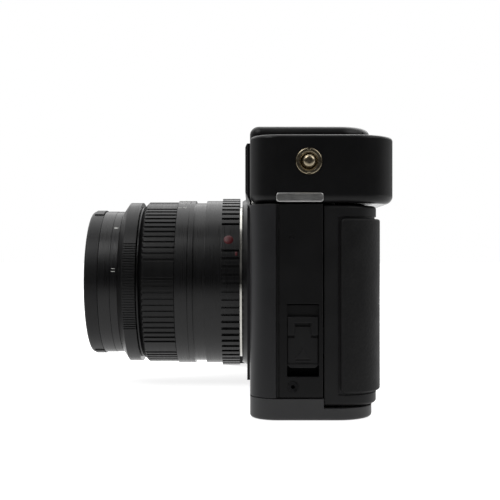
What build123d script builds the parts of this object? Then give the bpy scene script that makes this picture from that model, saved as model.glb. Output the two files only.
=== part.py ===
from build123d import *
import os
from math import cos, radians, sin, sqrt

# A 35 mm panoramic film camera with its lens, filter and lens cap.
# Millimetres. +X is the holder's left, -Y is where the lens points, +Z is up.
# The origin is on the base plane, at the mouth of the tripod socket, under the lens axis.

os.makedirs("parts", exist_ok=True)

# Past every face of the camera, for cuts that run right through
far = 120.0

# Overall sizes and covers
body_width = 166.0
deck_z = 83.0
front_y = -17.0
top_back_y = 23.8
base_back_y = 17.7
front_corner_r = 7.5
rear_corner_r = 11.5
base_corner_r = 10.5
wall = 2.0
top_wall = 1.6
seam = 0.25
body_gap = 0.2
base_top_z = 5.95
base_edge_r = 0.8
base_floor = 1.8
top_bottom_z = 59.9
shoulder_drop = 4.2
deck_back_y = 18.8
deck_inset = 14.0
deck_right_inset = 55.0
deck_corner_r = 10.0
deck_front_r = 3.0
deck_edge_r = 2.4
top_edge_r = 1.0
top_lip_r = 2.4
half = body_width / 2
inner_half = half - wall
shoulder_z = deck_z - shoulder_drop
deck_left_x = half - deck_inset
deck_right_x = deck_right_inset - half

# Back door
door_front_y = 3.5
door_back_y = 19.1
door_bottom_z = 3.7
door_top_gap = 0.5
door_inset = 1.1
door_wall = 1.6
door_edge_r = 0.9
base_gap = 0.4
end_gap = 0.4
pad_front_y = 8.0
pad_z = (7.4, 55.7)
pad_thick = 1.1
pad_right_inset = 10.0
pad_edge_r = 1.4
pad_rim_r = 0.6
pad_recess = 0.4
pad_gap = 0.6
hinge_inset = 3.0
hinge_y = 6.6
hinge_r = 1.9
hinge_pin_r = 0.9
hinge_ends_z = (12.0, 51.0)
hinge_room = 0.3
knuckle_gap = 0.25
pin_clearance = 0.04
door_half = half - door_inset
door_top_z = top_bottom_z - door_top_gap
door_corner_r = rear_corner_r - door_inset
hinge_x = hinge_inset - half
end_back_y = door_front_y - end_gap

# Grip bulge on the right of the front, which holds the batteries
battery_r = 7.75
battery_length = 27.0
battery_spacing = 0.9
battery_y = -16.4
battery_bottom_z = 4.2
battery_room = 0.25
battery_cap_r = 3.0
battery_cap = 0.6
grip_end_inset = 5.0
grip_side = 3.55
grip_front = 3.05
grip_bottom_z = 1.0
grip_top_z = 57.9
grip_corner_r = 8.5
grip_top_r = 4.0
rubber = 0.8
rubber_z = (8.0, 52.0)
rubber_back = 1.0
battery_pitch = 2 * battery_r + battery_spacing
grip_width = battery_pitch + 2 * (battery_r + grip_side)
grip_x = (grip_end_inset - half, grip_end_inset - half + grip_width)
grip_front_y = battery_y - battery_r - grip_front
battery_x = (grip_x[0] + grip_x[1]) / 2
battery_at = [(battery_x + side * battery_pitch / 2, battery_y) for side in (-1, 1)]

# Lens axis and film plane
lens_z = 35.5
gate_width = 65.0
gate_height = 24.0
narrow_width = 36.0
film_y = 14.72
film_height = 35.0
rail_step = 0.2
rail_width = 1.2
rail_half = 40.0
gate_bottom_z = lens_z - gate_height / 2
gate_top_z = lens_z + gate_height / 2

# Film chambers
cassette_inset = 20.0
cassette_r = 13.2
cassette_z = (12.0, 56.5)
chamber_y = 4.2
spool_inset = 16.0
spool_room_r = 9.8
spool_room_z = (13.0, 57.0)
spool_r = 5.0
spool_pivot_r = 1.5
sprocket_pitch = 13.5
sprocket_r = 5.9
sprocket_set = 0.5
sprocket_room = 1.3
sprocket_room_z = (15.0, 56.0)
sprocket_pivot_r = 1.2
fork_r = 2.5
shaft_clearance = 0.05
cassette_x = half - cassette_inset
spool_x = spool_inset - half
sprocket_x = spool_x + sprocket_pitch
sprocket_y = film_y - sprocket_set - sprocket_r

# Shutter and format masks
leaf_thick = 0.2
leaf_step = 0.35
leaf_cover = 1.1
shutter_y = 4.1
shutter_back_y = 9.4
shutter_floor_z = 9.6
shutter_room_half = 44.5
mask_y = 12.45
mask_thick = 0.5
mask_park = 0.5
mask_cover = 1.0
mask_over = 0.9
mask_clearance = 0.15
mask_near_x = gate_width / 2 + mask_park
mask_far_x = mask_near_x + (gate_width - narrow_width) / 2 + mask_cover
mask_half_z = gate_height / 2 + mask_over

# Lens radii, from the moving head outwards
head_r = 25.1
head_wall = 3.6
ring_seat_step = 0.1
ring_clearance = 0.06
sleeve_wall = 1.04
focus_wall = 2.5
barrel_step = 0.5
waist_depth = 0.8
collar_step = 0.8
stop_step = 1.7
aperture_step = 0.2
band_step = 0.2
nose_step = 0.3
filter_step = 0.3
thread_wall = 2.0
tab_proud = 0.35
head_tube_r = head_r - head_wall
ring_seat_r = head_r - ring_seat_step
head_bore_r = head_r + ring_clearance
sleeve_r = head_bore_r + sleeve_wall
focus_r = sleeve_r + focus_wall
barrel_r = focus_r + barrel_step
waist_r = barrel_r - waist_depth
collar_r = barrel_r + collar_step
stop_r = focus_r - stop_step
aperture_r = focus_r - aperture_step
band_r = head_r + band_step
nose_r = band_r + nose_step
filter_r = head_r + filter_step
thread_r = filter_r - thread_wall
cap_tab_r = filter_r + tab_proud

# Lens lengths, as distances in front of the body's front plane
mount_d = 2.65
flange_top_d = 3.5
collar_d = 9.64
waist_d = (15.3, 19.3)
groove_d = (20.8, 21.15)
barrel_d = 25.3
focus_d = (25.5, 37.5)
sleeve_front_d = 37.3
stop_d = (37.75, 38.3)
aperture_d = (38.5, 42.7, 44.7)
band_d = (44.9, 47.4)
filter_d = (47.45, 51.45)
cap_d = (51.6, 56.2)
head_rear_d = 8.0
diaphragm_d = (23.6, 25.0)
filter_glass_d = (47.0, 48.8)

# Lens mount, from the collar inwards
flange_step = 3.0
mount_room = 0.2
bayonet_width = 5.4
claw_reach = 1.4
bayonet_clearance = 0.3
bayonet_wall = 1.3
plinth_proud = 0.9
plinth_margin = 3.0
plinth_lap = (1.65, 0.9)
boss_r = collar_r
flange_r = collar_r - flange_step
mount_hole_r = flange_r + mount_room
bayonet_bore_r = flange_r - bayonet_width
claw_r = bayonet_bore_r - claw_reach
bayonet_r = claw_r - bayonet_clearance
bayonet_tab_r = bayonet_bore_r - bayonet_clearance
plinth_half = boss_r + plinth_margin
plinth_z = (base_top_z - plinth_lap[0], top_bottom_z + plinth_lap[1])

# Screws, all alike
screw_r = 0.85
screw_head_r = 1.5
screw_head = 0.8
screw_length = 4.5
screw_sunk = 0.1
screw_slot = (2.0, 0.4, 0.35)
base_screw_inset = 11.0
base_screws_at = [
    (base_screw_inset - half, 8),
    (half - base_screw_inset, 8),
    (half - base_screw_inset, -9),
    (26, -9),
    (26, 12),
    (-30, 9),
]
bayonet_screws = 5
bayonet_screw_at = flange_r - bayonet_width / 2
bayonet_screw_length = 5.0

lens_axis = Axis((0, 0, lens_z), (0, -1, 0))


def block(x_range, y_range, z_range, mode=Mode.ADD):
    """A box between two x, two y and two z, each pair in either order."""
    ranges = (x_range, y_range, z_range)
    with Locations(tuple((a + b) / 2 for a, b in ranges)):
        Box(*[abs(b - a) for a, b in ranges], mode=mode)


def around(middle, width):
    """The two ends of a width about its middle."""
    return (middle - width / 2, middle + width / 2)


def post(x, y, z_range, radius, mode=Mode.ADD):
    """An upright cylinder between two heights."""
    with BuildSketch(Plane.XY.offset(z_range[0])) as section:
        with Locations((x, y)):
            Circle(radius)
    extrude(section.sketch, amount=z_range[1] - z_range[0], mode=mode)


def side_pin(y, z, x_range, radius, mode=Mode.ADD):
    """A cylinder along X between two x, in either order."""
    low, high = sorted(x_range)
    with BuildSketch(Plane.YZ.offset(low)) as section:
        with Locations((y, z)):
            Circle(radius)
    extrude(section.sketch, amount=high - low, mode=mode)


def cover_plan(half_width, y_front, y_back, r_front, r_rear):
    """Plan outline of a cover: a rectangle with rounded front and rear corners."""
    with BuildSketch() as plan:
        with Locations((0, (y_front + y_back) / 2)):
            Rectangle(2 * half_width, y_back - y_front)
        if r_front > 0:
            fillet(plan.vertices().group_by(Axis.Y)[0], r_front)
        fillet(plan.vertices().group_by(Axis.Y)[-1], r_rear)
    return plan.sketch


def grip_plan(inset):
    """Plan outline of the grip bulge, set in all round by inset, reaching back past the front plane."""
    back = front_y + front_corner_r
    with BuildSketch() as plan:
        with Locations((battery_x, (grip_front_y + inset + back) / 2)):
            Rectangle(grip_width - 2 * inset, back - grip_front_y - inset)
        fillet(plan.vertices().group_by(Axis.Y)[0], grip_corner_r - inset)
    return plan.sketch


def hatch_plan(gap):
    """Plan outline of the battery cover, grown all round by gap."""
    with BuildSketch() as plan:
        with Locations((battery_x, battery_y)):
            SlotOverall(battery_pitch + 2 * (hatch_r + gap), 2 * (hatch_r + gap))
    return plan.sketch


def raise_plan(outline, z_range, mode=Mode.ADD):
    """Extrude a plan outline between two heights."""
    with BuildSketch(Plane.XY.offset(z_range[0])) as section:
        add(outline)
    extrude(section.sketch, amount=z_range[1] - z_range[0], mode=mode)


def lens_plane(distance):
    """Plane square to the lens axis, facing forward, a distance in front of the front plane."""
    return Plane(origin=(0, front_y - distance, lens_z), x_dir=(1, 0, 0), z_dir=(0, -1, 0))


def lens_ring(d_range, r_out, r_in=0.0, mode=Mode.ADD):
    """A ring or disc on the lens axis between two distances."""
    with BuildSketch(lens_plane(d_range[0])) as section:
        Circle(r_out)
        if r_in > 0:
            Circle(r_in, mode=Mode.SUBTRACT)
    extrude(section.sketch, amount=d_range[1] - d_range[0], mode=mode)


def lens_pins(d_range, places, radius, mode=Mode.ADD):
    """Round pins along the lens axis between two distances, at (right, up) places from the axis."""
    with BuildSketch(lens_plane(d_range[0])) as section:
        with Locations(*places):
            Circle(radius)
    extrude(section.sketch, amount=d_range[1] - d_range[0], mode=mode)


def turned(points, mode=Mode.ADD):
    """Turn a closed profile of (distance in front, radius) points about the lens axis."""
    with BuildSketch(Plane.YZ) as profile:
        with BuildLine():
            Polyline([(front_y - d, lens_z + r) for d, r in points], close=True)
        make_face()
    revolve(profile.sketch, axis=lens_axis, mode=mode)


def groove_angles(count, start, smooth, width):
    """Evenly spaced angles from start, less those within width of the middle of a smooth stretch."""
    angles = [start + 360 / count * step for step in range(count)]
    away = [[abs((angle - middle + 180) % 360 - 180) for middle in smooth] for angle in angles]
    return [angle for angle, gaps in zip(angles, away) if min(gaps) > width / 2]


def ribbed_ring(d_range, r_out, angles, groove_width, groove_depth, r_in):
    """A ring on the lens axis with straight grooves in its outside, at angles from +X towards +Z."""
    spots = [Location((r_out * cos(radians(a)), r_out * sin(radians(a)), 0), (0, 0, a)) for a in angles]
    with BuildSketch(lens_plane(d_range[0])) as section:
        Circle(r_out)
        with Locations(*spots):
            Rectangle(2 * groove_depth, groove_width, mode=Mode.SUBTRACT)
        Circle(r_in, mode=Mode.SUBTRACT)
    extrude(section.sketch, amount=d_range[1] - d_range[0])


def lens_sector(d_range, r_in, r_out, middle_deg, width_deg, mode=Mode.ADD):
    """A piece of a ring on the lens axis; angles run from +X towards +Z."""
    angles = [radians(middle_deg + part * width_deg / 2) for part in (-1, 0, 1)]
    with BuildSketch(lens_plane(d_range[0])) as section:
        with BuildLine():
            inner = [(r_in * cos(a), r_in * sin(a)) for a in angles]
            outer = [(r_out * cos(a), r_out * sin(a)) for a in angles]
            ThreePointArc(*inner)
            Line(inner[2], outer[2])
            ThreePointArc(*outer[::-1])
            Line(outer[0], inner[0])
        make_face()
    extrude(section.sketch, amount=d_range[1] - d_range[0], mode=mode)


def save(piece, name):
    """Label a finished piece and write its file."""
    piece.part.label = name
    export_step(piece.part, f"parts/{name}.step")


# Bottom cover: a shallow tray, higher in front of the door, with the battery hatch
hatch_margin = 0.4
hatch_r = battery_r + hatch_margin
hatch_gap = 0.15
hatch_thick = 1.6
socket_r = 3.175
bush_r = 6.0
bush_height = 6.0
rewind_x, rewind_y, rewind_r = 40.0, -2.0, 2.4
rewind_gap = 0.2

with BuildPart() as bottom_cover:
    raise_plan(cover_plan(half, front_y, base_back_y, front_corner_r, base_corner_r), (0, base_top_z))
    block(
        (-far, far),
        (door_front_y - base_gap / 2, far),
        (door_bottom_z - base_gap, far),
        mode=Mode.SUBTRACT,
    )
    fillet(bottom_cover.edges().group_by(Axis.Z)[0], base_edge_r)
    raise_plan(grip_plan(0), (grip_bottom_z, base_top_z))
    raise_plan(
        cover_plan(
            inner_half, front_y + wall, base_back_y - wall, front_corner_r - wall, base_corner_r - wall
        ),
        (base_floor, base_top_z),
        mode=Mode.SUBTRACT,
    )
    raise_plan(grip_plan(wall), (base_floor + grip_bottom_z, base_top_z), mode=Mode.SUBTRACT)
    raise_plan(hatch_plan(hatch_gap), (-1, base_top_z + 1), mode=Mode.SUBTRACT)
    post(0, 0, (-1, base_top_z), bush_r, mode=Mode.SUBTRACT)
    post(rewind_x, rewind_y, (-1, base_top_z), rewind_r + rewind_gap, mode=Mode.SUBTRACT)
    for x, y in base_screws_at:
        post(x, y, (-1, base_top_z), screw_r, mode=Mode.SUBTRACT)
        post(x, y, (-1, screw_head), screw_head_r, mode=Mode.SUBTRACT)
save(bottom_cover, "bottom_cover")

# Front cover: the front wall, both ends as far as the door, the plinth and the grip bulge
cover_z = (base_top_z + seam, top_bottom_z - seam)
panel_deep = 1.0
panel_thick = 0.75
panel_y = (-9.6, end_back_y - 0.2)
panel_gap = 0.15
panel_line = (0.45, 0.65, 0.3)
recess_y = (-6.8, 2.0)
recess_z = (12.0, 32.1)
sync_y, sync_z, sync_r = -5.2, 9.3, 1.5
sync_bore_r = 0.55
sync_bore = 2.5
sync_length = 4.4
sync_sunk = 0.1
tiny_y, tiny_z, tiny_r = -5.5, 50.5, 0.7
tiny_slot = 0.25
release_r = 3.2
release_stem_r = 1.6
release_room = 0.2
release_out = 7.56
release_deg = 218.73
release_from_axis = (
    (boss_r + release_out) * cos(radians(release_deg)),
    (boss_r + release_out) * sin(radians(release_deg)),
)

with BuildPart() as front_cover:
    raise_plan(grip_plan(0), (cover_z[0], grip_top_z))
    fillet(front_cover.edges().group_by(Axis.Z)[-1].sort_by(Axis.Y)[:-1], grip_top_r)
    raise_plan(cover_plan(half, front_y, top_back_y, front_corner_r, rear_corner_r), cover_z)
    raise_plan(
        cover_plan(inner_half, front_y + wall, top_back_y, front_corner_r - wall, rear_corner_r - wall),
        cover_z,
        mode=Mode.SUBTRACT,
    )
    block((-far, far), (end_back_y, far), (0, far), mode=Mode.SUBTRACT)
    raise_plan(grip_plan(wall), (cover_z[0], grip_top_z - grip_top_r), mode=Mode.SUBTRACT)
    block((-plinth_half, plinth_half), (front_y - plinth_proud, front_y), plinth_z)
    lens_ring((0, plinth_proud), boss_r, mode=Mode.SUBTRACT)
    lens_ring((-2 * wall, plinth_proud), mount_hole_r, mode=Mode.SUBTRACT)
    block((half - panel_deep, far), (panel_y[0] - seam, far), (0, far), mode=Mode.SUBTRACT)
    block((inner_half - 1, far), recess_y, recess_z, mode=Mode.SUBTRACT)
    side_pin(sync_y, sync_z, (inner_half - 1, far), sync_r, mode=Mode.SUBTRACT)
    lens_pins((-2 * wall, plinth_proud), [release_from_axis], release_r + release_room, mode=Mode.SUBTRACT)
save(front_cover, "front_cover")

# Left side panel, a flat plate let into the front cover's end
panel_x = (half - panel_deep, half - panel_deep + panel_thick)
with BuildPart() as side_panel_left:
    block(panel_x, panel_y, (cover_z[0] + panel_gap, cover_z[1] - panel_gap))
    block(
        (panel_x[1] - panel_line[2], far),
        (panel_y[0] + panel_line[0], panel_y[0] + panel_line[1]),
        (0, far),
        mode=Mode.SUBTRACT,
    )
    block((0, far), recess_y, recess_z, mode=Mode.SUBTRACT)
    side_pin(sync_y, sync_z, (0, far), sync_r, mode=Mode.SUBTRACT)
    side_pin(tiny_y, tiny_z, (panel_x[1] - panel_line[2], far), tiny_r, mode=Mode.SUBTRACT)
    side_pin(tiny_y, tiny_z, (panel_x[1] - panel_line[2], panel_x[1]), tiny_r - tiny_slot)
save(side_panel_left, "side_panel_left")

# Grip rubber, a skin over the front of the grip bulge
with BuildPart() as grip_rubber:
    raise_plan(grip_plan(-rubber), rubber_z)
    raise_plan(grip_plan(0), rubber_z, mode=Mode.SUBTRACT)
    block((-far, far), (front_y - rubber_back, far), (0, far), mode=Mode.SUBTRACT)
save(grip_rubber, "grip_rubber")

# Top cover: the shoulder shell, the raised deck, and openings for finder, shoe, dials and lugs
bezel_x = (-6.0, half - 18.0)
bezel_z = (top_bottom_z + 4.1, deck_z - 4.7)
bezel_foot_z = top_bottom_z + 1.1
bezel_proud = 1.4
window_z = shoulder_z - 7.6
finder_window = (half - 36.0, 17.0, 11.0)
light_window = (half - 57.5, 15.0, 8.0)
range_window = (4.0, 7.0, 7.0)
window_gap = 0.1
window_ledge = 0.6
pane_thick = 1.0
pane_set = 0.25
eyepiece_x, eyepiece_z, eyepiece_r = finder_window[0], window_z - 1.2, 8.2
eye_tube_r = 6.4
lug_y, lug_z, lug_r = -0.8, top_bottom_z + 11.5, 3.7
lug_sunk = 0.4
lug_neck_r = 1.5
lug_clearance = 0.1
rub_y = (-9.85, 3.3)
rub_z = (top_bottom_z + seam, top_bottom_z + 2.9)
rub_deep = 0.8
shoe_half = 11.0
shoe_y = (-7.0, 13.0)
shoe_room = (2.0, 1.0)
shoe_floor_z = deck_z - 3.5
button_x, button_y = 19.0 - half, -5.5
button_r, button_stem_r = 5.0, 2.0
selector_r = 8.2
dial_x, dial_y, dial_r = 41.0 - half, -2.0, 8.8
dial_shaft_r = 2.0
counter_x, counter_y = 21.0 - half, 13.5
counter_size = (15.0, 8.0)
format_x, format_z, format_r = deck_right_x - 7.0, shoulder_z - 9.3, 5.5
format_shaft_r = 1.5
lip_back_y = 16.0
lip_height = 1.6

with BuildPart() as top_cover:
    raise_plan(
        cover_plan(half, front_y, top_back_y, front_corner_r, rear_corner_r), (top_bottom_z, shoulder_z)
    )
    fillet(top_cover.edges().group_by(Axis.Z)[-1], top_edge_r)
    deck_root_z = shoulder_z - top_edge_r - 0.2
    with BuildSketch(Plane.XY.offset(deck_root_z)) as deck_plan:
        with Locations(((deck_right_x + deck_left_x) / 2, (front_y + deck_back_y) / 2)):
            Rectangle(deck_left_x - deck_right_x, deck_back_y - front_y)
        fillet(deck_plan.vertices().group_by(Axis.Y)[-1], deck_corner_r)
        fillet(deck_plan.vertices().group_by(Axis.Y)[0], deck_front_r)
    extrude(amount=deck_z - deck_root_z)
    fillet(top_cover.edges().group_by(Axis.Z)[-1], deck_edge_r)
    fillet(top_cover.edges().group_by(Axis.Z)[0].filter_by_position(Axis.Y, 5, far), top_lip_r)
    raise_plan(
        cover_plan(half - top_wall, front_y + top_wall, lip_back_y, front_corner_r - top_wall, deck_corner_r),
        (top_bottom_z, top_bottom_z + lip_height + 0.4),
        mode=Mode.SUBTRACT,
    )
    raise_plan(
        cover_plan(
            half - top_wall,
            front_y + top_wall,
            top_back_y - top_wall,
            front_corner_r - top_wall,
            rear_corner_r - top_wall,
        ),
        (top_bottom_z + lip_height, shoulder_z - top_wall),
        mode=Mode.SUBTRACT,
    )
    block(
        (shoe_half + 5, deck_left_x - 3),
        (front_y + 3, deck_back_y - 2.6),
        (shoulder_z - 2, deck_z - top_wall),
        mode=Mode.SUBTRACT,
    )
    for x, width, height in (finder_window, light_window, range_window):
        block(
            around(x, width - 2 * window_ledge),
            (front_y - 1, front_y + top_wall + 1),
            around(window_z, height - 2 * window_ledge),
            mode=Mode.SUBTRACT,
        )
    with BuildSketch(Plane.XZ.offset(-top_back_y - 1)):
        with Locations((eyepiece_x, eyepiece_z)):
            Circle(eye_tube_r)
        with Locations((format_x, format_z)):
            Circle(format_shaft_r + shaft_clearance)
    extrude(amount=5, mode=Mode.SUBTRACT)
    for side in (-1, 1):
        side_pin(
            lug_y, lug_z, (side * (half - 3), side * far), lug_neck_r + lug_clearance, mode=Mode.SUBTRACT
        )
        side_pin(lug_y, lug_z, (side * (half - lug_sunk), side * far), lug_r, mode=Mode.SUBTRACT)
        block((side * (half - rub_deep), side * far), rub_y, rub_z, mode=Mode.SUBTRACT)
    lens_ring((-3, 1), mount_hole_r, mode=Mode.SUBTRACT)
    block(
        around(0, 2 * (shoe_half + shoe_room[0])),
        (shoe_y[0] - shoe_room[1], far),
        (shoe_floor_z, far),
        mode=Mode.SUBTRACT,
    )
    post(
        button_x, button_y, (shoulder_z - 5, far), button_stem_r + shaft_clearance, mode=Mode.SUBTRACT
    )
    post(dial_x, dial_y, (shoulder_z - 5, far), dial_shaft_r + shaft_clearance, mode=Mode.SUBTRACT)
    block(
        around(counter_x, counter_size[0]),
        around(counter_y, counter_size[1]),
        (shoulder_z - 5, far),
        mode=Mode.SUBTRACT,
    )
save(top_cover, "top_cover")

# Finder: bezel, its three windows, the glass block inside and the eyepiece
bezel_edge = 0.8
with BuildPart() as viewfinder_bezel:
    with BuildSketch(Plane.YZ.offset(bezel_x[0])):
        with BuildLine():
            Polyline(
                (front_y, bezel_foot_z),
                (front_y, bezel_z[1]),
                (front_y - bezel_proud + 0.5, bezel_z[1]),
                (front_y - bezel_proud, bezel_z[1] - 1.0),
                (front_y - bezel_proud, bezel_z[0]),
                close=True,
            )
        make_face()
    extrude(amount=bezel_x[1] - bezel_x[0])
    chamfer(viewfinder_bezel.edges().filter_by(Axis.Z).group_by(Axis.Y)[0], bezel_edge)
    for x, width, height in (finder_window, light_window, range_window):
        block(around(x, width), (front_y - 5, front_y + 1), around(window_z, height), mode=Mode.SUBTRACT)
    lens_ring((-1, 5), boss_r + mount_room, mode=Mode.SUBTRACT)
save(viewfinder_bezel, "viewfinder_bezel")

pane_y = front_y - bezel_proud + pane_set
for window, name in (
    (finder_window, "viewfinder_window"),
    (light_window, "illumination_window"),
    (range_window, "rangefinder_window"),
):
    with BuildPart() as pane:
        block(
            around(window[0], window[1] - 2 * window_gap),
            (pane_y, pane_y + pane_thick),
            around(window_z, window[2] - 2 * window_gap),
        )
    save(pane, name)

prism_y = (-12.0, 18.0)
prism_width = 16.0
prism_below, prism_above = 6.0, 5.0
prism_arm = 8.0
with BuildPart() as finder_prism:
    block(around(finder_window[0], prism_width), prism_y, (window_z - prism_below, window_z + prism_above))
    block(
        (range_window[0] - prism_arm / 2, finder_window[0] - prism_width / 2),
        (prism_y[0], prism_y[0] + prism_arm),
        around(window_z, prism_arm),
    )
save(finder_prism, "finder_prism")

eye_plane = Plane(origin=(eyepiece_x, top_back_y, eyepiece_z), x_dir=(-1, 0, 0), z_dir=(0, 1, 0))
eye_proud = 2.0
eye_seat = 3.0
eye_tube_wall = 1.2
eye_rim_wall = 0.6
eye_edge_r = 0.9
eye_glass = 2.2
eye_glass_front = 0.2
with BuildPart() as eyepiece_ring:
    with BuildSketch(eye_plane):
        Circle(eyepiece_r)
        Circle(eye_tube_r - eye_rim_wall, mode=Mode.SUBTRACT)
    extrude(amount=eye_proud)
    fillet(eyepiece_ring.edges().group_by(Axis.Y)[-1].sort_by(SortBy.LENGTH)[-1], eye_edge_r)
    with BuildSketch(eye_plane):
        Circle(eye_tube_r)
        Circle(eye_tube_r - eye_tube_wall, mode=Mode.SUBTRACT)
    extrude(amount=-eye_seat)
save(eyepiece_ring, "eyepiece_ring")

with BuildPart() as eyepiece_lens:
    with BuildSketch(eye_plane.offset(eye_glass_front)):
        Circle(eye_tube_r - eye_tube_wall - shaft_clearance)
    extrude(amount=-eye_glass - eye_glass_front)
save(eyepiece_lens, "eyepiece_lens")

# Accessory shoe: a folded channel, open to the rear, stopped at the front
shoe_sheet = 1.0
shoe_inner = 9.35
shoe_slot = 2.05
shoe_lip = 0.8
shoe_open_half = 6.25
shoe_base_z = shoe_floor_z + shoe_sheet
shoe_slot_z = shoe_base_z + shoe_slot
with BuildPart() as accessory_shoe:
    block((-shoe_half, shoe_half), shoe_y, (shoe_floor_z, shoe_slot_z + shoe_lip))
    block(
        (-shoe_inner, shoe_inner),
        (shoe_y[0] + shoe_sheet, far),
        (shoe_base_z, shoe_slot_z),
        mode=Mode.SUBTRACT,
    )
    block((-shoe_open_half, shoe_open_half), (shoe_y[0] - 1, far), (shoe_base_z, far), mode=Mode.SUBTRACT)
    block((-shoe_open_half, shoe_open_half), (shoe_y[0], shoe_y[0] + shoe_sheet), (shoe_base_z, shoe_slot_z))
save(accessory_shoe, "accessory_shoe")

# Controls on the right shoulder
button_z = (shoulder_z + 1.5, shoulder_z + 4.0)
button_edge_r = 0.7
cable_r, cable_deep = 1.5, 0.7
button_stem = 7.3
selector_z = (shoulder_z + 0.2, shoulder_z + 2.8)
selector_gap = 0.35
selector_edge_r = 0.6
lever_width = 3.2
lever_out = (6.5, 11.0)
lever_drop = 0.4
dial_z = (shoulder_z + 0.3, shoulder_z + 4.2)
dial_notches = 48
dial_notch = (0.35, 0.55)
dial_cap = 0.7
dial_cap_step = 0.6
dial_shaft = 8.1
counter_pane = 1.2
counter_set = 0.2
with BuildPart() as shutter_button:
    post(button_x, button_y, button_z, button_r)
    fillet(shutter_button.edges().group_by(Axis.Z)[-1], button_edge_r)
    post(button_x, button_y, (button_z[1] - cable_deep, far), cable_r, mode=Mode.SUBTRACT)
    post(button_x, button_y, (button_z[0] - button_stem, button_z[0]), button_stem_r)
save(shutter_button, "shutter_button")

with BuildPart() as drive_selector:
    post(button_x, button_y, selector_z, selector_r)
    fillet(drive_selector.edges().group_by(Axis.Z)[-1], selector_edge_r)
    block(
        around(button_x, lever_width),
        (button_y - lever_out[1], button_y - lever_out[0]),
        (selector_z[0], selector_z[1] - lever_drop),
    )
    post(button_x, button_y, (0, far), button_r + selector_gap, mode=Mode.SUBTRACT)
save(drive_selector, "drive_selector")

with BuildPart() as speed_dial:
    with BuildSketch(Plane.XY.offset(dial_z[0])):
        with Locations((dial_x, dial_y)):
            Circle(dial_r)
            with PolarLocations(dial_r, dial_notches):
                Rectangle(2 * dial_notch[0], dial_notch[1], mode=Mode.SUBTRACT)
    extrude(amount=dial_z[1] - dial_cap - dial_z[0])
    post(dial_x, dial_y, (dial_z[1] - dial_cap, dial_z[1]), dial_r - dial_cap_step)
    post(dial_x, dial_y, (dial_z[0] - dial_shaft, dial_z[0]), dial_shaft_r)
save(speed_dial, "speed_dial")

with BuildPart() as counter_window:
    block(
        around(counter_x, counter_size[0] - 2 * window_gap),
        around(counter_y, counter_size[1] - 2 * window_gap),
        (shoulder_z - counter_set - counter_pane, shoulder_z - counter_set),
    )
save(counter_window, "counter_window")

format_plane = Plane(origin=(format_x, top_back_y + 0.2, format_z), x_dir=(-1, 0, 0), z_dir=(0, 1, 0))
format_disc = 1.4
format_bar = (9.5, 2.2, 1.2)
format_shaft = 5.0
with BuildPart() as format_selector:
    with BuildSketch(format_plane):
        Circle(format_r)
    extrude(amount=format_disc)
    with BuildSketch(format_plane.offset(format_disc)):
        Rectangle(format_bar[0], format_bar[1])
    extrude(amount=format_bar[2])
    with BuildSketch(format_plane):
        Circle(format_shaft_r)
    extrude(amount=-format_shaft)
save(format_selector, "format_selector")

# Strap studs and rub plates, one at each end
lug_rim = 1.0
lug_rim_wall = 0.95
lug_dish = 0.35
lug_dish_r = 1.3
lug_notch = (0.9, 1.1, 0.3)
lug_neck = (1.0, 1.3)
lug_head = (1.8, 2.5)
lug_head_r = 1.1
lug_rim_edge = 0.3
lug_tail = 2.2
lug_fit = 0.05
with BuildPart() as strap_lugs:
    for side in (-1, 1):
        lug_at = (side * (half - lug_sunk), lug_y, lug_z)
        lug_plane = Plane(origin=lug_at, x_dir=(0, 1, 0), z_dir=(side, 0, 0))
        with BuildSketch(lug_plane):
            Circle(lug_r - lug_fit)
        extrude(amount=lug_rim)
        with BuildSketch(lug_plane.offset(lug_dish)):
            Circle(lug_dish_r)
        with BuildSketch(lug_plane.offset(lug_rim)):
            Circle(lug_r - lug_rim_wall)
        loft(mode=Mode.SUBTRACT)
        with BuildSketch(lug_plane.offset(lug_notch[2])):
            with Locations((0, lug_r), (0, -lug_r)):
                Rectangle(lug_notch[0], lug_notch[1])
        extrude(amount=lug_rim, mode=Mode.SUBTRACT)
        with BuildSketch(lug_plane.offset(lug_dish)):
            Circle(lug_neck[0])
        extrude(amount=lug_neck[1] - lug_dish)
        with BuildSketch(lug_plane.offset(lug_neck[1])):
            Circle(lug_head[0])
        extrude(amount=lug_head[1] - lug_neck[1])
        with BuildSketch(lug_plane):
            Circle(lug_neck_r)
        extrude(amount=-lug_tail)
    heads = strap_lugs.edges().filter_by(GeomType.CIRCLE).group_by(Axis.X)
    fillet([heads[0].sort_by(SortBy.RADIUS)[-1], heads[-1].sort_by(SortBy.RADIUS)[-1]], lug_head_r)
    rims = strap_lugs.edges().filter_by(GeomType.CIRCLE).filter_by(
        lambda edge: abs(edge.radius - lug_r + lug_fit) < 0.01
        and abs(abs(edge.center().X) - half + lug_sunk - lug_rim) < 0.01
    )
    fillet(rims, lug_rim_edge)
save(strap_lugs, "strap_lugs")

rub_fit = 0.1
rub_proud = 0.3
rub_corner_r = 0.8
rub_bevel = 0.25
rub_middle = ((rub_y[0] + rub_y[1]) / 2, (rub_z[0] + rub_z[1]) / 2)
with BuildPart() as rub_plates:
    for side in (-1, 1):
        rub_plane = Plane(origin=(side * (half - rub_deep), *rub_middle), x_dir=(0, 1, 0), z_dir=(side, 0, 0))
        with BuildSketch(rub_plane):
            RectangleRounded(rub_y[1] - rub_y[0] - rub_fit, rub_z[1] - rub_z[0] - rub_fit, rub_corner_r)
        extrude(amount=rub_deep + rub_proud)
    faces_out = rub_plates.faces().filter_by(Axis.X).sort_by(Axis.X)
    chamfer(faces_out[0].edges() + faces_out[-1].edges(), rub_bevel)
save(rub_plates, "rub_plates")

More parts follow.
